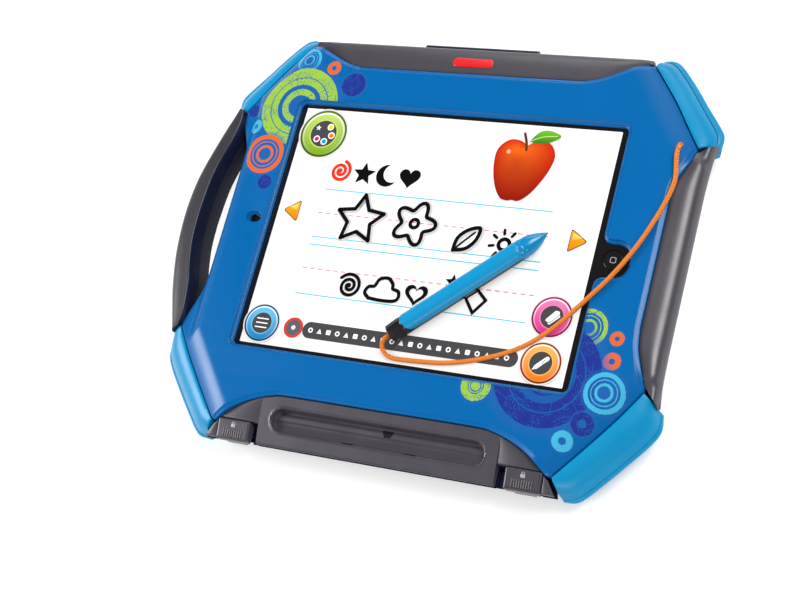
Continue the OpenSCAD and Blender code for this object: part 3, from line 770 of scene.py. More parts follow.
def knuckle(solid, start, end):
    """Hinge knuckle of the bezel, with the block that carries it."""
    width, narrow = end - start, KNUCKLE_R - KNUCKLE_ROUND
    profile = [(0, KNUCKLE_HOLE), (0, narrow), (KNUCKLE_ROUND, KNUCKLE_R),
               (width - KNUCKLE_ROUND, KNUCKLE_R), (width, narrow), (width, KNUCKLE_HOLE)]
    lathe(solid, profile, (start, KNUCKLE_V, -SEAM_W), (1, 0, 0), (0, 1, 0), 32)
    solid.block((start + 0.2, 106, FRAME_BACK), (end - 0.2, KNUCKLE_V - 0.8, FRAME_BACK + 2.1))


# Soft corners and grips -------------------------------------------------------------------------
# Sections of the corners: share of the width and height, from the bezel seam outwards.
FRONT_LOW_SKIN = (
    (0, -2.5), (0.012, -2), (0.04, -1.8), (0.1, -1.95), (0.23, -2.5), (0.34, -3.3), (0.46, -4.4),
    (0.57, -5.9), (0.68, -7.9), (0.77, -10), (0.85, -12.3), (0.885, -13.1), (0.89, -13.4),
    (0.88, -13.6), (0.6, -13.6), (0.57, -FLANGE_W))
FRONT_TOP_SKIN = (
    (0, -2.5), (0.012, -2), (0.04, -1.8), (0.1, -1.8), (0.2, -2.15), (0.3, -2.65), (0.4, -3.3),
    (0.5, -4.2), (0.6, -5.4), (0.7, -7), (0.765, -8.3), (0.775, -8.7), (0.765, -8.95), (0.6, -8.95),
    (0.57, -FLANGE_W))
REAR_LOW_SKIN = (
    (0, -9.2), (0.5, -9.2), (0.52, -13.75), (0.84, -13.7), (0.885, -13.5), (0.905, -13.35), (0.94, -13.7),
    (0.98, -14.6), (0.995, -15.5), (0.98, -16.4), (0.93, -17.6), (0.85, -19), (0.78, -20))
REAR_TOP_SKIN = (
    (0, -9.1), (0.74, -9.1), (0.78, -8.75), (0.8, -8.5), (0.9, -9.1), (0.97, -9.9), (1.0, -10.9),
    (0.99, -11.8), (0.93, -14), (0.8, -18), (0.72, -20))


def sweep(inner, outer, skin, foot):
    """Band with the given section, rounded down at both ends."""
    def height(u, v, w, to_end):
        return w - 0.5 * round_down(to_end, CORNER_END_R) if w > foot + CORNER_END_R + 0.4 else w

    return band(inner, outer, 110, ((0, 0, foot), *((t, 0, w) for t, w in skin)), height)


def bumpers():
    for side, mark in ((1, "right"), (-1, "left")):
        for level, inner, outer, step, front, rear in (
                ("top", TOP_CORNER, TOP_BUMPER, (GAP, GAP), FRONT_TOP_SKIN, REAR_TOP_SKIN),
                ("low", back(LOW_CORNER), back(LOW_BUMPER), (GAP, -GAP), FRONT_LOW_SKIN, REAR_LOW_SKIN)):
            a = curve(shift(inner, *step), 12) * (side, 1)
            b = curve(outer, 12) * (side, 1)
            for place, skin, foot, body, crease in (("front", front, FLANGE_W, "front_frame", 34),
                                                    ("rear", rear, SIDE_W, "rear_case", 40)):
                end = "%s_%s_%s" % (place, level, mark)
                solid = sweep(a, b, skin, -foot)
                piece("corner_" + end, solid, "bumper_blue", body, crease, ("bumper_" + end,))


GRIP_FOOT = -6.1


def settled(slope):
    """A slope that also follows the corners of the bezel down."""
    return lambda u, v: min(slope(u, v), FACE_W - 0.5 - droop(u, v))


def over(surface, steps):
    """Steps for layers, with their heights measured from a surface."""
    return [(distance, lambda u, v, lift=lift: surface(u, v) + lift) for distance, lift in steps]


def top_grip():
    seam = curve(shift(TOP_SEAM, 0, GAP), 12)
    shoulder = [(98, 120.2), (105.6, 119.6), (106.4, 116.2)]
    skin = ((0, 0, -2.2), (0, 0, -0.6), (0, 0.15, -0.25), (0, 0.5, -0.08), (0.1, 0, 0), (0.3, 0, 0.22),
            (0.5, 0, 0.36), (0.7, 0, 0.3), (0.85, 0, 0), (1, -1.2, -0.5), (1, -0.5, -0.95), (1, -0.12, -1.5),
            (1, 0, -2.1))
    inner, outer = flip(seam) + list(seam)[1:], flip(shoulder) + shoulder
    solid = strip(inner, outer, skin, GRIP_FOOT, settled(slope_top), 260, 0.8)
    piece("top_grip", solid, "charcoal", "front_frame", 40, ("top_grip_front",))
    solid = Solid()
    badge = stadium(25.6, 6.2, 0, BEZEL_EDGE + 6.6)
    steps = over(slope_top, ((0, -0.3), (0, 0.45), (0.15, 0.7), (0.5, 0.85), (1.1, 0.9)))
    solid.closed(layers(badge, steps))
    piece("badge_plate", solid, "badge_red", "front_frame", 50, ("badge",))


def side_grip():
    inner = shift([*curve(back(SIDE_LOW), 12), *curve(SIDE_TOP, 12)], GAP, 0)
    outer = shift([*curve(SIDE_OUT[:4], 12), *curve(SIDE_OUT[4:], 12)], -STEP_IN, 0)
    skin = ((0, 0, -2.4), (0, 0, -0.9), (0, 0.15, -0.55), (0, 0.5, -0.35), (0.15, 0, -0.2), (0.35, 0, 0.15),
            (0.5, 0, 0.35), (0.62, 0, 0.3), (0.74, 0, -0.1), (0.84, 0, -0.9), (0.92, 0, -2.1),
            (0.97, 0, -3.4), (1, 0, -4.8), (1, 0, -8.4))
    solid = strip(inner, outer, skin, FRAME_BACK, settled(slope_side), 220, 0.9)
    piece("side_grip", solid, "charcoal", "front_frame", 40, ("side_grip_front",))


def handle():
    inner, outer = curve(back(GRIP_IN), 16), curve(GRIP_OUT, 16)
    front = ((0, -2.4, -8.3), (0, -1.6, -5), (0, -0.7, -1.6), (0, -0.2, -0.5), (0, 0, -0.16),
             (0, 0.22, 0.04), (0, 0.6, 0.1), (0, 1.1, 0.02), (0.3, 0, -0.15), (0.5, 0, -0.35),
             (0.68, 0, -0.75), (0.82, 0, -1.4), (0.93, 0, -2.5), (0.98, 0, -3.6), (1, 0, -5), (1, 0, -6.6))
    rear = ((0, -2.4, 0), (1, 0, 0), (1, 0, -5.5), (1, -0.4, -7.8), (1, -1.4, -9.6), (0.72, 0, -10.6),
            (0.3, 0, -10.6), (0, -1.2, -10.4), (0, -3.4, -9.2), (0, -3.2, -5))
    face = strip(inner, outer, front, FRAME_BACK, lambda u, v: 0.0, 160)
    piece("handle_face", face, "handle", "front_frame", 50, ("handle_front",))
    case = band(inner, outer, 160, rear, lambda u, v, lift, to_end: lift - SEAM_W - GAP / 2)
    piece("handle_back", case, "handle", "rear_case", 50, ("handle_rear",))


# Tray bar, its stylus groove and the two latches: lengths, places and heights.
GROOVE_W, GROOVE_H, GROOVE_V, GROOVE_FLOOR = 130.0, 13.5, -115.5, -5.2
BAR_EDGE, BAR_BULGE, BAR_ROWS = -130.2, 0.54, 84
LATCH_U, LATCH_HALF, LATCH_LOW, LATCH_HIGH, LATCH_TRAVEL = 88.0, 10.4, -130.6, -119.0, 5.0


def from_groove(u, v):
    """Distance from the edge of the stylus groove, negative inside it."""
    straight = GROOVE_W / 2 - GROOVE_H / 2
    du = max(abs(u) - straight, 0)
    return math.hypot(du, v - GROOVE_V) - GROOVE_H / 2


def ease(x):
    x = min(max(x, 0), 1)
    return x * x * (3 - 2 * x)


def bar_height(u, v, t):
    """Surface of the tray bar: bulged, with the groove sunk into it."""
    top = slope_low(u, v) + BAR_BULGE * math.sin(math.pi * t)
    d = from_groove(u, v)
    across = (v - GROOVE_V) / (GROOVE_H / 2)
    ledge = ease((across + 0.1) / 0.3) * ease((0.8 - across) / 0.4)
    floor = GROOVE_FLOOR + 1.2 * across ** 2 + 1.3 * ledge
    rim = 0.3 * math.exp(-((d - 0.45) / 0.4) ** 2)
    inside = ease(-d / 1.2)
    return (top + rim) * (1 - inside) + min(floor, top) * inside


def tray_bar():
    seam = curve(shift(LOW_SEAM, 0, -GAP), 24)

    def seam_v(u):
        return float(np.interp(abs(u), seam[:, 0], seam[:, 1]))

    solid = Solid()
    slot_in = LATCH_U - LATCH_HALF - LATCH_TRAVEL - GAP
    groove_end = GROOVE_W / 2
    spread = np.concatenate([
        np.linspace(-slot_in, -groove_end - 0.5, 16), np.linspace(-groove_end, -50, 44)[1:],
        np.linspace(-50, 50, 120)[1:], np.linspace(50, groove_end, 44)[1:],
        np.linspace(groove_end + 0.5, slot_in, 16)])
    rows = []
    for u in spread:
        top_v = seam_v(u)
        row = [(u, top_v, -FLANGE_W), (u, top_v, GRIP_W - 1.2), (u, top_v - 0.12, GRIP_W - 0.5)]
        for k in range(1, BAR_ROWS):
            v = top_v - 0.4 + (BAR_EDGE + 1.2 - top_v) * k / BAR_ROWS
            row.append((u, v, bar_height(u, v, k / BAR_ROWS)))
        edge = slope_low(u, BAR_EDGE)
        row += [(u, BAR_EDGE + 0.3, edge - 0.1), (u, BAR_EDGE, edge - 0.5),
                (u, BAR_EDGE + 0.2, -FLANGE_W + 0.4), (u, BAR_EDGE + 0.6, -FLANGE_W)]
        rows.append(row)
    solid.grid(rows)
    # Ends of the bar, above the latches and beyond them.
    above = [(slot_in - 0.4, -118.7), (97, -118.7)]
    above += [(u, seam_v(u)) for u in np.linspace(97, slot_in - 0.4, 24)]
    beyond = [(98.9, -129.8), (105.8, -129.8), (101.2, -122.6), (98.9, -120.6)]
    for side in (-1, 1):
        for points, top in ((above, 0.0), (beyond, -0.3)):
            loop = even(np.array(points)[::side] * (side, 1), 240, closed=True)
            steps = over(slope_low, ((0, top - 0.5), (0.15, top - 0.15), (0.5, top)))
            solid.closed(layers(loop, [(0, -FLANGE_W)] + steps))
    piece("stylus_bar", solid, "charcoal", "front_frame", 38, ("tray_bar",))
    # Drain openings in the groove's lower rim and the keeper notch in its upper wall: dark blocks fill them
    # as painted shade.
    solid = Solid()
    notch = [(3.2, -112.4), (4.2, -114.6), (7.6, -114.6), (8.8, -112.6), (9.4, -110.8), (2.2, -110.8)]
    for loop, t, lift in ((round_rect(7.4, 1.1, 0.5) + (-16, -121.6), 0.7, 0.08),
                          (round_rect(7.4, 1.1, 0.5) + (22, -121.6), 0.7, 0.08),
                          (even(notch, 60, closed=True), 0.35, 0.1)):
        solid.closed([(loop, -4.6), (loop, lambda u, v: bar_height(u, v, t) + lift)])
    piece("bar_opening_shade", solid, "seam_dark", "front_frame", 40)


def catch_top(u, v):
    return slope_low(u, v) + 0.5


def latches():
    body_steps = over(catch_top, ((0, -0.9), (0.12, -0.5), (0.4, -0.2), (0.9, -0.05), (1.4, 0)))
    height, middle_v = LATCH_HIGH - LATCH_LOW, (LATCH_HIGH + LATCH_LOW) / 2
    for side, body in ((1, "latch_right"), (-1, "latch_left")):
        u = side * LATCH_U
        solid = Solid()
        loop = round_rect(2 * LATCH_HALF - 0.1, height - 0.1, 1.0, 5) + (u, middle_v)
        solid.closed(layers(loop, [(0, 0.8 - SEAM_W)] + body_steps))
        solid.block((u - 6, -130.2, -SEAM_W - 4), (u + 6, -126.2, -SEAM_W + 1))
        for k in range(9):
            rib = round_rect(0.7, 4.6, 0.3, 3) + (u - 5.6 + 1.4 * k, -126.9)
            solid.closed(layers(rib, over(catch_top, ((0, -0.2), (0, 0.2), (0.15, 0.3)))))
        piece("catch_" + body, solid, "charcoal", body, 40, (body,))
        # A small padlock, without its keyhole.
        solid = Solid()
        mark = round_rect(2.6, 2.0, 0.4, 3) + (u, -122.6)
        solid.closed(layers(mark, over(catch_top, ((0, -0.2), (0, 0.12), (0.12, 0.18)))))
        arch = circle(u, -121.4, 1.0, 24)
        low, high = solid.stack(layers(arch, over(catch_top, ((0, -0.2), (0, 0.1), (0.1, 0.15)))))
        hole_high, hole_low = solid.stack(layers(arch, over(catch_top, ((0.35, 0.15), (0.35, -0.2)))))
        solid.cap(high, [hole_high])
        solid.cap(low, [hole_low])
        piece("catch_mark_" + body, solid, "icon", body, 40)


# Screen, glass and buttons ----------------------------------------------------------------------
# Width, height, radius and steps of the glass, then the place of the home button in it.
GLASS = (241.2, 185.7, 9, 10)
GLASS_THICK = 0.9
HOME_U, HOME_HOLE_R = 109.6, 5.7
HOME_PROFILE = (
    (-2, 0), (-2, 5.5), (-0.4, 5.5), (-0.15, 5.3), (-0.12, 5), (-0.3, 3.6), (-0.5, 1.8), (-0.55, 0))


def glass():
    solid = Solid()
    steps = ((0, -GLASS_THICK), (0, -0.25), (0.08, -0.1), (0.3, 0))
    low, high = solid.stack(layers(round_rect(*GLASS), steps))
    hole_high, hole_low = solid.stack(layers(circle(HOME_U, 0, HOME_HOLE_R), ((0, 0), (0, -GLASS_THICK))))
    solid.cap(high, [hole_high])
    solid.cap(low, [hole_low])
    piece("screen_glass", solid, "cover_glass", "rear_case", 40, ("tablet_glass",))
    solid = Solid()
    lathe(solid, HOME_PROFILE, (HOME_U, 0, 0), (0, 0, 1), (1, 0, 0), 64)
    piece("button_home", solid, "button_black", "home_button", 50, ("home_button",))
    solid = Solid()
    mark = round_rect(3.4, 3.4, 0.8) + (HOME_U, 0)
    low, high = solid.stack(layers(mark, ((0, -0.55), (0, -0.36), (0.12, -0.33))))
    hole_high, hole_low = solid.stack(layers(mark, ((0.36, -0.33), (0.42, -0.36), (0.42, -0.55))))
    solid.cap(high, [hole_high])
    solid.cap(low, [hole_low])
    piece("button_home_mark", solid, "icon", "home_button", 50)


# Height of the picture's first layer over the glass, and of each next one.
LAYER_START, LAYER_STEP = 0.03, 0.004


class Picture:
    """Flat shapes on the screen, each a thin layer over the one before."""

    def __init__(self):
        self.points = []
        self.faces = []
        self.tints = []
        self.layer = 0

    def lay(self, spots, tones):
        """Points of the next layer. It returns the number of the first."""
        self.layer += 1
        first = len(self.points)
        self.points += [(p[0], p[1], LAYER_START + LAYER_STEP * self.layer) for p in spots]
        self.tints += tones
        return first

    def shape(self, loop, tone, tone_low=None, holes=()):
        """Filled outline. With a second tone it fades from the first at the top to the second below."""
        loops = [np.array(part, float) for part in (loop, *holes)]
        flat = np.vstack(loops)
        low, high = flat[:, 1].min(), flat[:, 1].max()
        shares = (high - flat[:, 1]) / max(high - low, 1e-6)
        first = self.lay(flat, [blended(tone, tone_low or tone, share) for share in shares])
        lines = [[Vector((p[0], p[1], 0)) for p in part] for part in loops]
        for tri in tessellate_polygon(lines):
            self.faces.append(tuple(first + t for t in tri))

    def stroke(self, points, width, tone):
        """A drawn line with round ends."""
        line = curve(points, 10)
        way = unit(np.gradient(line, axis=0))
        side = np.stack([-way[:, 1], way[:, 0]], axis=1) * width / 2
        spots = np.stack([line + side, line - side], axis=1).reshape(-1, 2)
        first = self.lay(spots, [tone] * len(spots))
        for a in range(first, first + len(spots) - 2, 2):
            self.faces.append((a, a + 1, a + 3, a + 2))
        for p in (line[0], line[-1]):
            self.shape(circle(p[0], p[1], width / 2, 20), tone)

    def ring(self, u, v, r, width, tone, tone_low=None):
        self.shape(circle(u, v, r), tone, tone_low, [circle(u, v, r - width)[::-1]])


PAPER, PAPER_EDGE, INK = rgb(253, 253, 253), rgb(244, 240, 238), rgb(18, 17, 19)
SLATE = rgb(72, 71, 74)
WHITE = rgb(252, 252, 252)
STROKE_WIDTH, GUIDE_WIDTH = 2.3, 3.9
PICTURE = (197.1, 147.8, 0.5)
BAR_V = -61.8


def button_icon(art, u, v, r, light, deep, rim):
    """Round button: dark rim, shaded coloured ring and a slate middle."""
    art.shape(circle(u, v, r * 1.07), rgb(226, 222, 220))
    art.shape(circle(u, v, r), rim, shaded(rim, 0.55))
    art.shape(circle(u, v, r * 0.92), light, deep)
    art.ring(u, v, r * 0.9, r * 0.06, WHITE, deep)
    art.shape(circle(u, v, r * 0.61), light)
    art.shape(circle(u, v, r * 0.56), SLATE)


def dashes(art, v, start, end, tone):
    u = start
    while u < end:
        art.shape([(u, v - 0.28), (u + 2.8, v - 0.28), (u + 2.8, v + 0.28), (u, v + 0.28)], tone)
        u += 5.0


def arrow(art, u, v, way):
    tip, wing = 5.4, 6.2
    points = [(u + way * tip, v), (u - way * 4, v + wing), (u - way * 4, v - wing)]
    loop = even(points, 90, closed=True)
    for _ in range(10):
        loop = (np.roll(loop, 1, axis=0) + loop + np.roll(loop, -1, axis=0)) / 3
    centre = loop.mean(axis=0)
    art.shape((loop - centre) * 1.12 + centre, rgb(60, 42, 20))
    art.shape(loop, rgb(252, 176, 40), rgb(236, 130, 16))
    gloss = (loop - centre) * (0.6, 0.34) + centre + (0, 2.2)
    art.shape(gloss, rgb(255, 222, 130), rgb(250, 180, 60))


def ghosted(art, points):
    """Hand-drawn stroke over the grey guide that it traces."""
    art.stroke(shift(points, 0.7, -0.4), GUIDE_WIDTH, rgb(206, 205, 206))
    art.stroke(points, STROKE_WIDTH, INK)


def spiral(u, v, r, turns, count=40):
    steps = [k / (count - 1) for k in range(count)]
    return [(u + r * t * math.cos(2 * math.pi * turns * t), v + r * t * math.sin(2 * math.pi * turns * t))
            for t in steps]


def star(u, v, r, waist):
    spokes = [(r if k % 2 == 0 else r * waist, math.radians(90 + 36 * k)) for k in range(10)]
    return [(u + d * math.cos(a), v + d * math.sin(a)) for d, a in spokes]


def petals(u, v, r, swing, count):
    out = []
    for k in range(73):
        a = math.radians(5 * k)
        reach = r + swing * math.cos(count * a)
        out.append((u + reach * math.cos(a), v + reach * math.sin(a)))
    return out


def heart(u, v, r):
    out = []
    for k in range(60):
        a = 2 * math.pi * k / 60
        height = 13 * math.cos(a) - 5 * math.cos(2 * a) - 2 * math.cos(3 * a) - math.cos(4 * a)
        out.append((u - r * math.sin(a) ** 3, v + r / 16 * height))
    return np.array(out)


def screen_picture():
    art = Picture()
    art.shape(round_rect(*PICTURE), PAPER, PAPER_EDGE)
    art.shape(round_rect(186, 132, 6) + (0, 1), PAPER)
    for v in (23.7, -6.0, -10.9, -41.0):
        art.shape([(-72, v - 0.35), (69.7, v - 0.35), (69.7, v + 0.35), (-72, v + 0.35)], rgb(88, 196, 226))
    for v in (8.9, -25.3):
        dashes(art, v, -72, 69, rgb(232, 112, 118))
    # Bar of small white marks.
    art.shape(round_rect(131.4, 9.8, 4.8) + (5.0, BAR_V), SLATE)
    triangle = even([(-1.6, -1.4), (1.6, -1.4), (0, 1.5)], 24, True)
    marks = (circle(0, 0, 1.5, 20), triangle, round_rect(2.8, 2.8, 0.4))
    for k in range(22):
        loop = marks[k % 3] + (-55.5 + 5.7 * k, BAR_V)
        art.shape(loop, WHITE, None, [inset(loop, 0.75)[::-1]])
    for radius, tone in ((6.1, rgb(214, 60, 52)), (4.6, rgb(96, 94, 97)), (1.3, WHITE)):
        art.shape(circle(-66.7, BAR_V + 0.1, radius), tone)
    # Row of drawings at the top: a red spiral, then a star, a crescent moon and a heart in black.
    art.stroke(spiral(-65.2, 35.6, 6.6, 2.2), 2.0, rgb(232, 52, 32))
    art.shape(star(-49.6, 35.2, 7.4, 0.45), INK)
    art.shape(circle(-34.8, 35.4, 6.8), INK)
    art.shape(circle(-31.6, 37.0, 5.6), PAPER)
    art.shape(heart(-20.4, 35.6, 6.6), INK)
    # Traced drawings: a big star, a flower, a leaf and a sun.
    big = star(-44.4, 7.2, 15.2, 0.5)
    ghosted(art, even(big + big[:2], 100))
    ghosted(art, petals(-9.8, 8.2, 10.6, 2.6, 5))
    art.ring(-9.8, 8.2, 3.6, 2.2, INK)
    leaf = [(17.4, -4.8), (18.4, 2.4), (23.4, 7.6), (30.4, 9.4), (29.4, 2.2), (24.4, -3.2), (17.4, -4.8)]
    ghosted(art, leaf)
    art.stroke([(17.4, -4.8), (23.6, 2.2), (28, 6.8)], 1.2, INK)
    art.ring(46.6, 1.6, 4.3, 2.2, INK)
    for k in range(8):
        a = math.radians(45 * k + 10)
        art.stroke([(46.6 + r * math.cos(a), 1.6 + r * math.sin(a)) for r in (6.2, 7.4, 8.6)], 1.7, INK)
    # Drawn again below: a spiral, a cloud, a heart, a comet and a kite.
    art.stroke(spiral(-39.3, -33.1, 7.4, 2.4), 2.0, INK)
    cloud = [(-25.6, -38.6), (-28.6, -35.6), (-27, -32), (-23.6, -31.2), (-21.4, -27), (-16.4, -25.8),
             (-12.8, -28.8), (-12, -31.6), (-8.2, -33), (-7.6, -36.8), (-10.4, -38.8), (-18, -39.2),
             (-25.6, -38.6)]
    art.stroke(cloud, 2.1, INK)
    art.shape(heart(2.6, -33.0, 7.0), INK, None, [heart(2.6, -33.0, 4.2)[::-1]])
    for k in (-1, 0, 1):
        art.stroke([(14.6 + 2.4 * k, -38.6 + 1.2 * k), (17 + 2 * k, -34), (20.4 + 1.4 * k, -28.6)], 1.2, INK)
    art.shape(star(22.6, -23.6, 5.0, 0.45), INK)
    kite = even([(38.4, -41), (45.6, -31.4), (38.4, -25), (31.2, -31.4)], 80, True)
    art.shape(kite, INK, None, [(kite * 0.66 + np.array([38.4, -32.2]) * 0.34)[::-1]])
    arrow(art, -88.6, 8.4, -1)
    arrow(art, 87.6, 8.1, 1)
    apple(art)
    # Round buttons in the corners.
    button_icon(art, -82.9, 57.9, 15, rgb(194, 216, 112), rgb(120, 164, 24), rgb(80, 108, 34))
    for u, v, tone in ((-79.3, 62.4, rgb(250, 218, 20)), (-77.4, 57.1, rgb(238, 118, 20)),
                       (-81.3, 53, rgb(20, 150, 208)), (-86.4, 54.3, rgb(222, 24, 122))):
        art.shape(circle(u, v, 2.15, 24), WHITE)
        art.shape(circle(u, v, 1.45, 24), tone)
    art.shape(star(-87.1, 61.4, 2.0, 0.45), rgb(226, 226, 228))
    button_icon(art, 84, -36.1, 11.4, rgb(240, 130, 182), rgb(200, 36, 124), rgb(146, 22, 92))
    art.shape([(80.4, -38.4), (83.4, -40.6), (88.6, -35.6), (87.6, -32.6), (85.4, -32.4)], WHITE)
    art.stroke([(80.4, -38), (83.2, -39.4), (88.2, -34.2)], 0.35, INK)
    button_icon(art, 84, -62.1, 11.4, rgb(250, 182, 98), rgb(230, 114, 14), rgb(140, 60, 14))
    art.shape([(79.8, -66.4), (80.8, -64.2), (82.2, -65.4)], WHITE)
    art.stroke([(81.8, -64.5), (84.4, -61.9), (87.2, -59.3)], 2.4, WHITE)
    art.stroke([(84.9, -62.6), (85.9, -60.0)], 0.35, INK)
    button_icon(art, -87.1, -61.7, 11.1, rgb(112, 192, 228), rgb(20, 118, 178), rgb(16, 72, 120))
    for k in (-1, 0, 1):
        art.stroke([(-90.6, -61.7 + 2.6 * k), (-83.6, -61.7 + 2.6 * k)], 0.7, WHITE)
    mesh = bpy.data.meshes.new("picture")
    mesh.from_pydata([at(*p) for p in art.points], [], art.faces)
    layer = mesh.color_attributes.new("tint", "FLOAT_COLOR", "POINT")
    layer.data.foreach_set("color", [c for tone in art.tints for c in tone])
    bm = bmesh.new()
    bm.from_mesh(mesh)
    for f in bm.faces:
        f.normal_update()
        if f.normal.z < 0:
            f.normal_flip()
    bm.to_mesh(mesh)
    bm.free()
    mesh.materials.append(lit_picture())
    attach(shown("picture", mesh), "rear_case")


def apple(art):
    """Red fruit with a stalk and a leaf, shaded by bands that shrink towards the light."""
    outline = curve([
        (46, 61.2), (52, 64.6), (59.4, 63), (63.4, 56), (61.6, 46.5), (56.4, 36), (51.6, 30), (47.6, 27.6),
        (44.4, 28), (41.4, 27.4), (37, 28.8), (32.2, 36), (28.8, 47), (28.6, 57.4), (34, 63.6), (40.4, 64),
        (46, 61.2)])[:-1]
    middle, light = np.array([46, 46]), np.array([42, 55])
    for share in np.linspace(0, 1, 30):
        loop = (outline - middle) * (1 - 0.8 * share) + middle * (1 - share) + light * share
        high = blended(rgb(206, 44, 20), rgb(238, 104, 30), share)
        art.shape(loop[::-1], high, blended(rgb(140, 24, 14), rgb(196, 70, 24), share))
    art.shape(circle(35.6, 56.6, 1.3, 24), rgb(250, 170, 130))
    art.stroke([(45.7, 58.4), (44.8, 63), (42.6, 68.3)], 1.5, rgb(92, 52, 24))
    leaf = curve([
        (46.4, 63.6), (51, 69.6), (57, 71), (64.3, 68.1), (59, 64.2), (52, 62.8), (46.4, 63.6)])[:-1]
    art.shape(leaf[::-1], rgb(120, 190, 52), rgb(40, 120, 34))
    art.stroke([(47.2, 64), (54, 67), (62, 68)], 0.5, rgb(200, 226, 130))


# Stylus -----------------------------------------------------------------------------------------
PEN_START = Vector((-4.0, -59.6, 6.0))
PEN_ANGLE = math.radians(42)
PEN_DIR = Vector((math.cos(PEN_ANGLE), math.sin(PEN_ANGLE), 0))
PEN_SIDE = Vector((-math.sin(PEN_ANGLE), math.cos(PEN_ANGLE), 0))
PEN_UP = Vector((0, 0, 1))
PEN_R = 5.5


def on_pen(along, angle, radius):
    """Point on the stylus: the angle is measured from its top."""
    away = PEN_UP * math.cos(angle) + PEN_SIDE * math.sin(angle)
    return PEN_START + PEN_DIR * along + away * radius


def stylus():
    solid = Solid()
    body = [(8.6, 2.6), (8.6, 5.0), (9.2, 5.4), (20, PEN_R), (84.4, PEN_R), (84.9, 5.2), (84.9, 2.6)]
    lathe(solid, body, PEN_START, PEN_DIR, PEN_UP, 64)
    piece("pen_body", solid, "stylus_black", "stylus", 40, ("stylus_shell", "stylus_core"))
    # Blue panel round the upper part of the body, with a rounded end beside the cap.
    solid = Solid()
    reach, start, end, arch, thick = math.radians(82), 9.6, 84.8, 4.6, 0.22
    rows = []
    stations = [start + arch * (1 - math.cos(math.pi * k / 32)) for k in range(17)]
    stations += list(np.linspace(start + arch + 0.5, end - 0.3, 40)) + [end]
    for x in stations:
        round_off = 1 - min(max(1 - (x - start) / arch, 0), 1) ** 2
        half = reach * max(math.sqrt(round_off), 0.04)
        edge = 0.0 if x > end - 0.1 or x < start + 0.02 else thick
        row = []
        for k in range(41):
            a = half * (k / 20 - 1)
            near_side = min(round_down(abs(half - abs(a)) * 5.7, 0.7), 0.3)
            row.append(on_pen(x, a, PEN_R + 0.02 + edge - near_side * edge / thick))
        row += [on_pen(x, half * (k / 20 - 1), 5.3) for k in range(40, -1, -1)]
        rows.append(row)
    solid.grid(rows)
    piece("pen_panel", solid, "stylus_blue", "stylus", 40, ("stylus_barrel",))
    solid = Solid()
    solid.grid([[on_pen(x, 2 * math.pi * (k + 0.5) / 10, r) for k in range(10)]
                for x, r in ((0, 3.6), (0.25, 4.6), (0.9, 5.1), (8.2, PEN_R), (9, 5.3))])
    piece("pen_cap", solid, "stylus_black", "stylus", 20, ("stylus_cap",))
    solid = Solid()
    tip = [(84.8, 0.1), (84.8, 5.45), (85.3, 5.7), (86.6, 5.75), (87.2, 5.6), (87.7, 5.4), (88.3, 5.45)]
    for k in range(1, 25):
        rise = math.sin(math.radians(90 * k / 24))
        tip.append((88.3 + 14.7 * rise, PEN_R * (1 - rise ** 1.8)))
    lathe(solid, tip, PEN_START, PEN_DIR, PEN_UP, 64)
    piece("pen_tip", solid, "stylus_nib", "stylus", 50, ("stylus_nib",))


# Parts kept from the CAD model: their edges are softened in a copy ------------------------------
def softened(node, body, width, finish):
    """Copy of a CAD node with bevelled edges."""
    mesh = frame["nodes"][node].data.copy()
    bm = bmesh.new()
    bm.from_mesh(mesh)
    bmesh.ops.remove_doubles(bm, verts=bm.verts, dist=1e-6)
    bmesh.ops.dissolve_limit(bm, angle_limit=math.radians(0.5), verts=bm.verts, edges=bm.edges)
    bm.to_mesh(mesh)
    bm.free()
    smooth(mesh, 32)
    mesh.materials.clear()
    mesh.materials.append(FINISH[finish])
    obj = shown(node + "_soft", mesh)
    edge = obj.modifiers.new("edges", "BEVEL")
    edge.width = width * MM
    edge.segments = 2
    edge.limit_method = "ANGLE"
    edge.angle_limit = math.radians(40)
    edge.use_clamp_overlap = True
    even_light = obj.modifiers.new("light", "WEIGHTED_NORMAL")
    even_light.keep_sharp = True
    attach(obj, body)
    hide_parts(node)


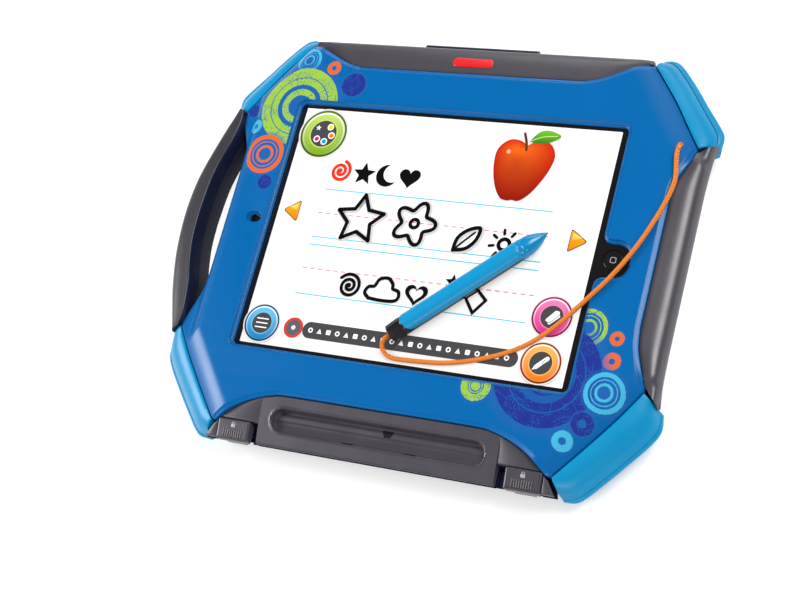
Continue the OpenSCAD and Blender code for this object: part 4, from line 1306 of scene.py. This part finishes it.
bezel()
bumpers()
top_grip()
side_grip()
handle()
tray_bar()
latches()
glass()
screen_picture()
stylus()
for node, slot, body, width, finish in (
        ("rear_shell", "case_blue", "rear_case", 0.4, "case_blue"),
        ("top_grip_rear", "charcoal", "rear_case", 0.4, "charcoal"),
        ("side_grip_rear", "charcoal", "rear_case", 0.4, "charcoal"),
        ("inner_tray", "dark_plastic", "rear_case", 0.2, "dark_plastic"),
        ("cord_grommet", "case_blue", "front_frame", 0.1, "sleeve"),
        ("rear_feet", "rubber", "rear_case", 0.25, "rubber")):
    softened(node, body, width, finish)

# CAD nodes that stay in view keep the finish of their slot.
for part in frame["record"]["materials"]:
    for name in part.get("nodes", []):
        node = frame["nodes"].get(name)
        if node and not node.hide_render and part["slot"] in FINISH:
            node.data.materials.clear()
            node.data.materials.append(FINISH[part["slot"]])

# Floor and light --------------------------------------------------------------------------------
REACH = 6.0
floor_mesh = bpy.data.meshes.new("floor")
corners = [(-REACH, -REACH, 0), (REACH, -REACH, 0), (REACH, REACH, 0), (-REACH, REACH, 0)]
floor_mesh.from_pydata(corners, [], [(0, 1, 2, 3)])
floor_mesh.materials.append(pale_floor())
shown("floor", floor_mesh)


def softbox(name, place, size, watts):
    """Rectangular lamp that faces the origin."""
    data = bpy.data.lights.new(name, "AREA")
    data.shape = "RECTANGLE"
    data.size, data.size_y = size
    data.energy = watts
    lamp = shown(name, data)
    lamp.location = place
    lamp.rotation_euler = (-Vector(place)).to_track_quat("-Z", "Y").to_euler()


softbox("key", (-1.45, -0.36, 0.9), (0.85, 0.65), 29.0)
softbox("fill", (0.95, 0.6, 1.5), (1.0, 0.9), 34.0)
softbox("rim", (-0.1, 1.9, 0.9), (1.4, 0.5), 12.0)
softbox("front", (0.5, -1.8, 0.9), (1.6, 0.35), 16.0)
world = bpy.data.worlds.new("world")
world.use_nodes = True
background = world.node_tree.nodes["Background"].inputs
background["Color"].default_value = (1, 1, 1, 1)
background["Strength"].default_value = 0.09
bpy.context.scene.world = world
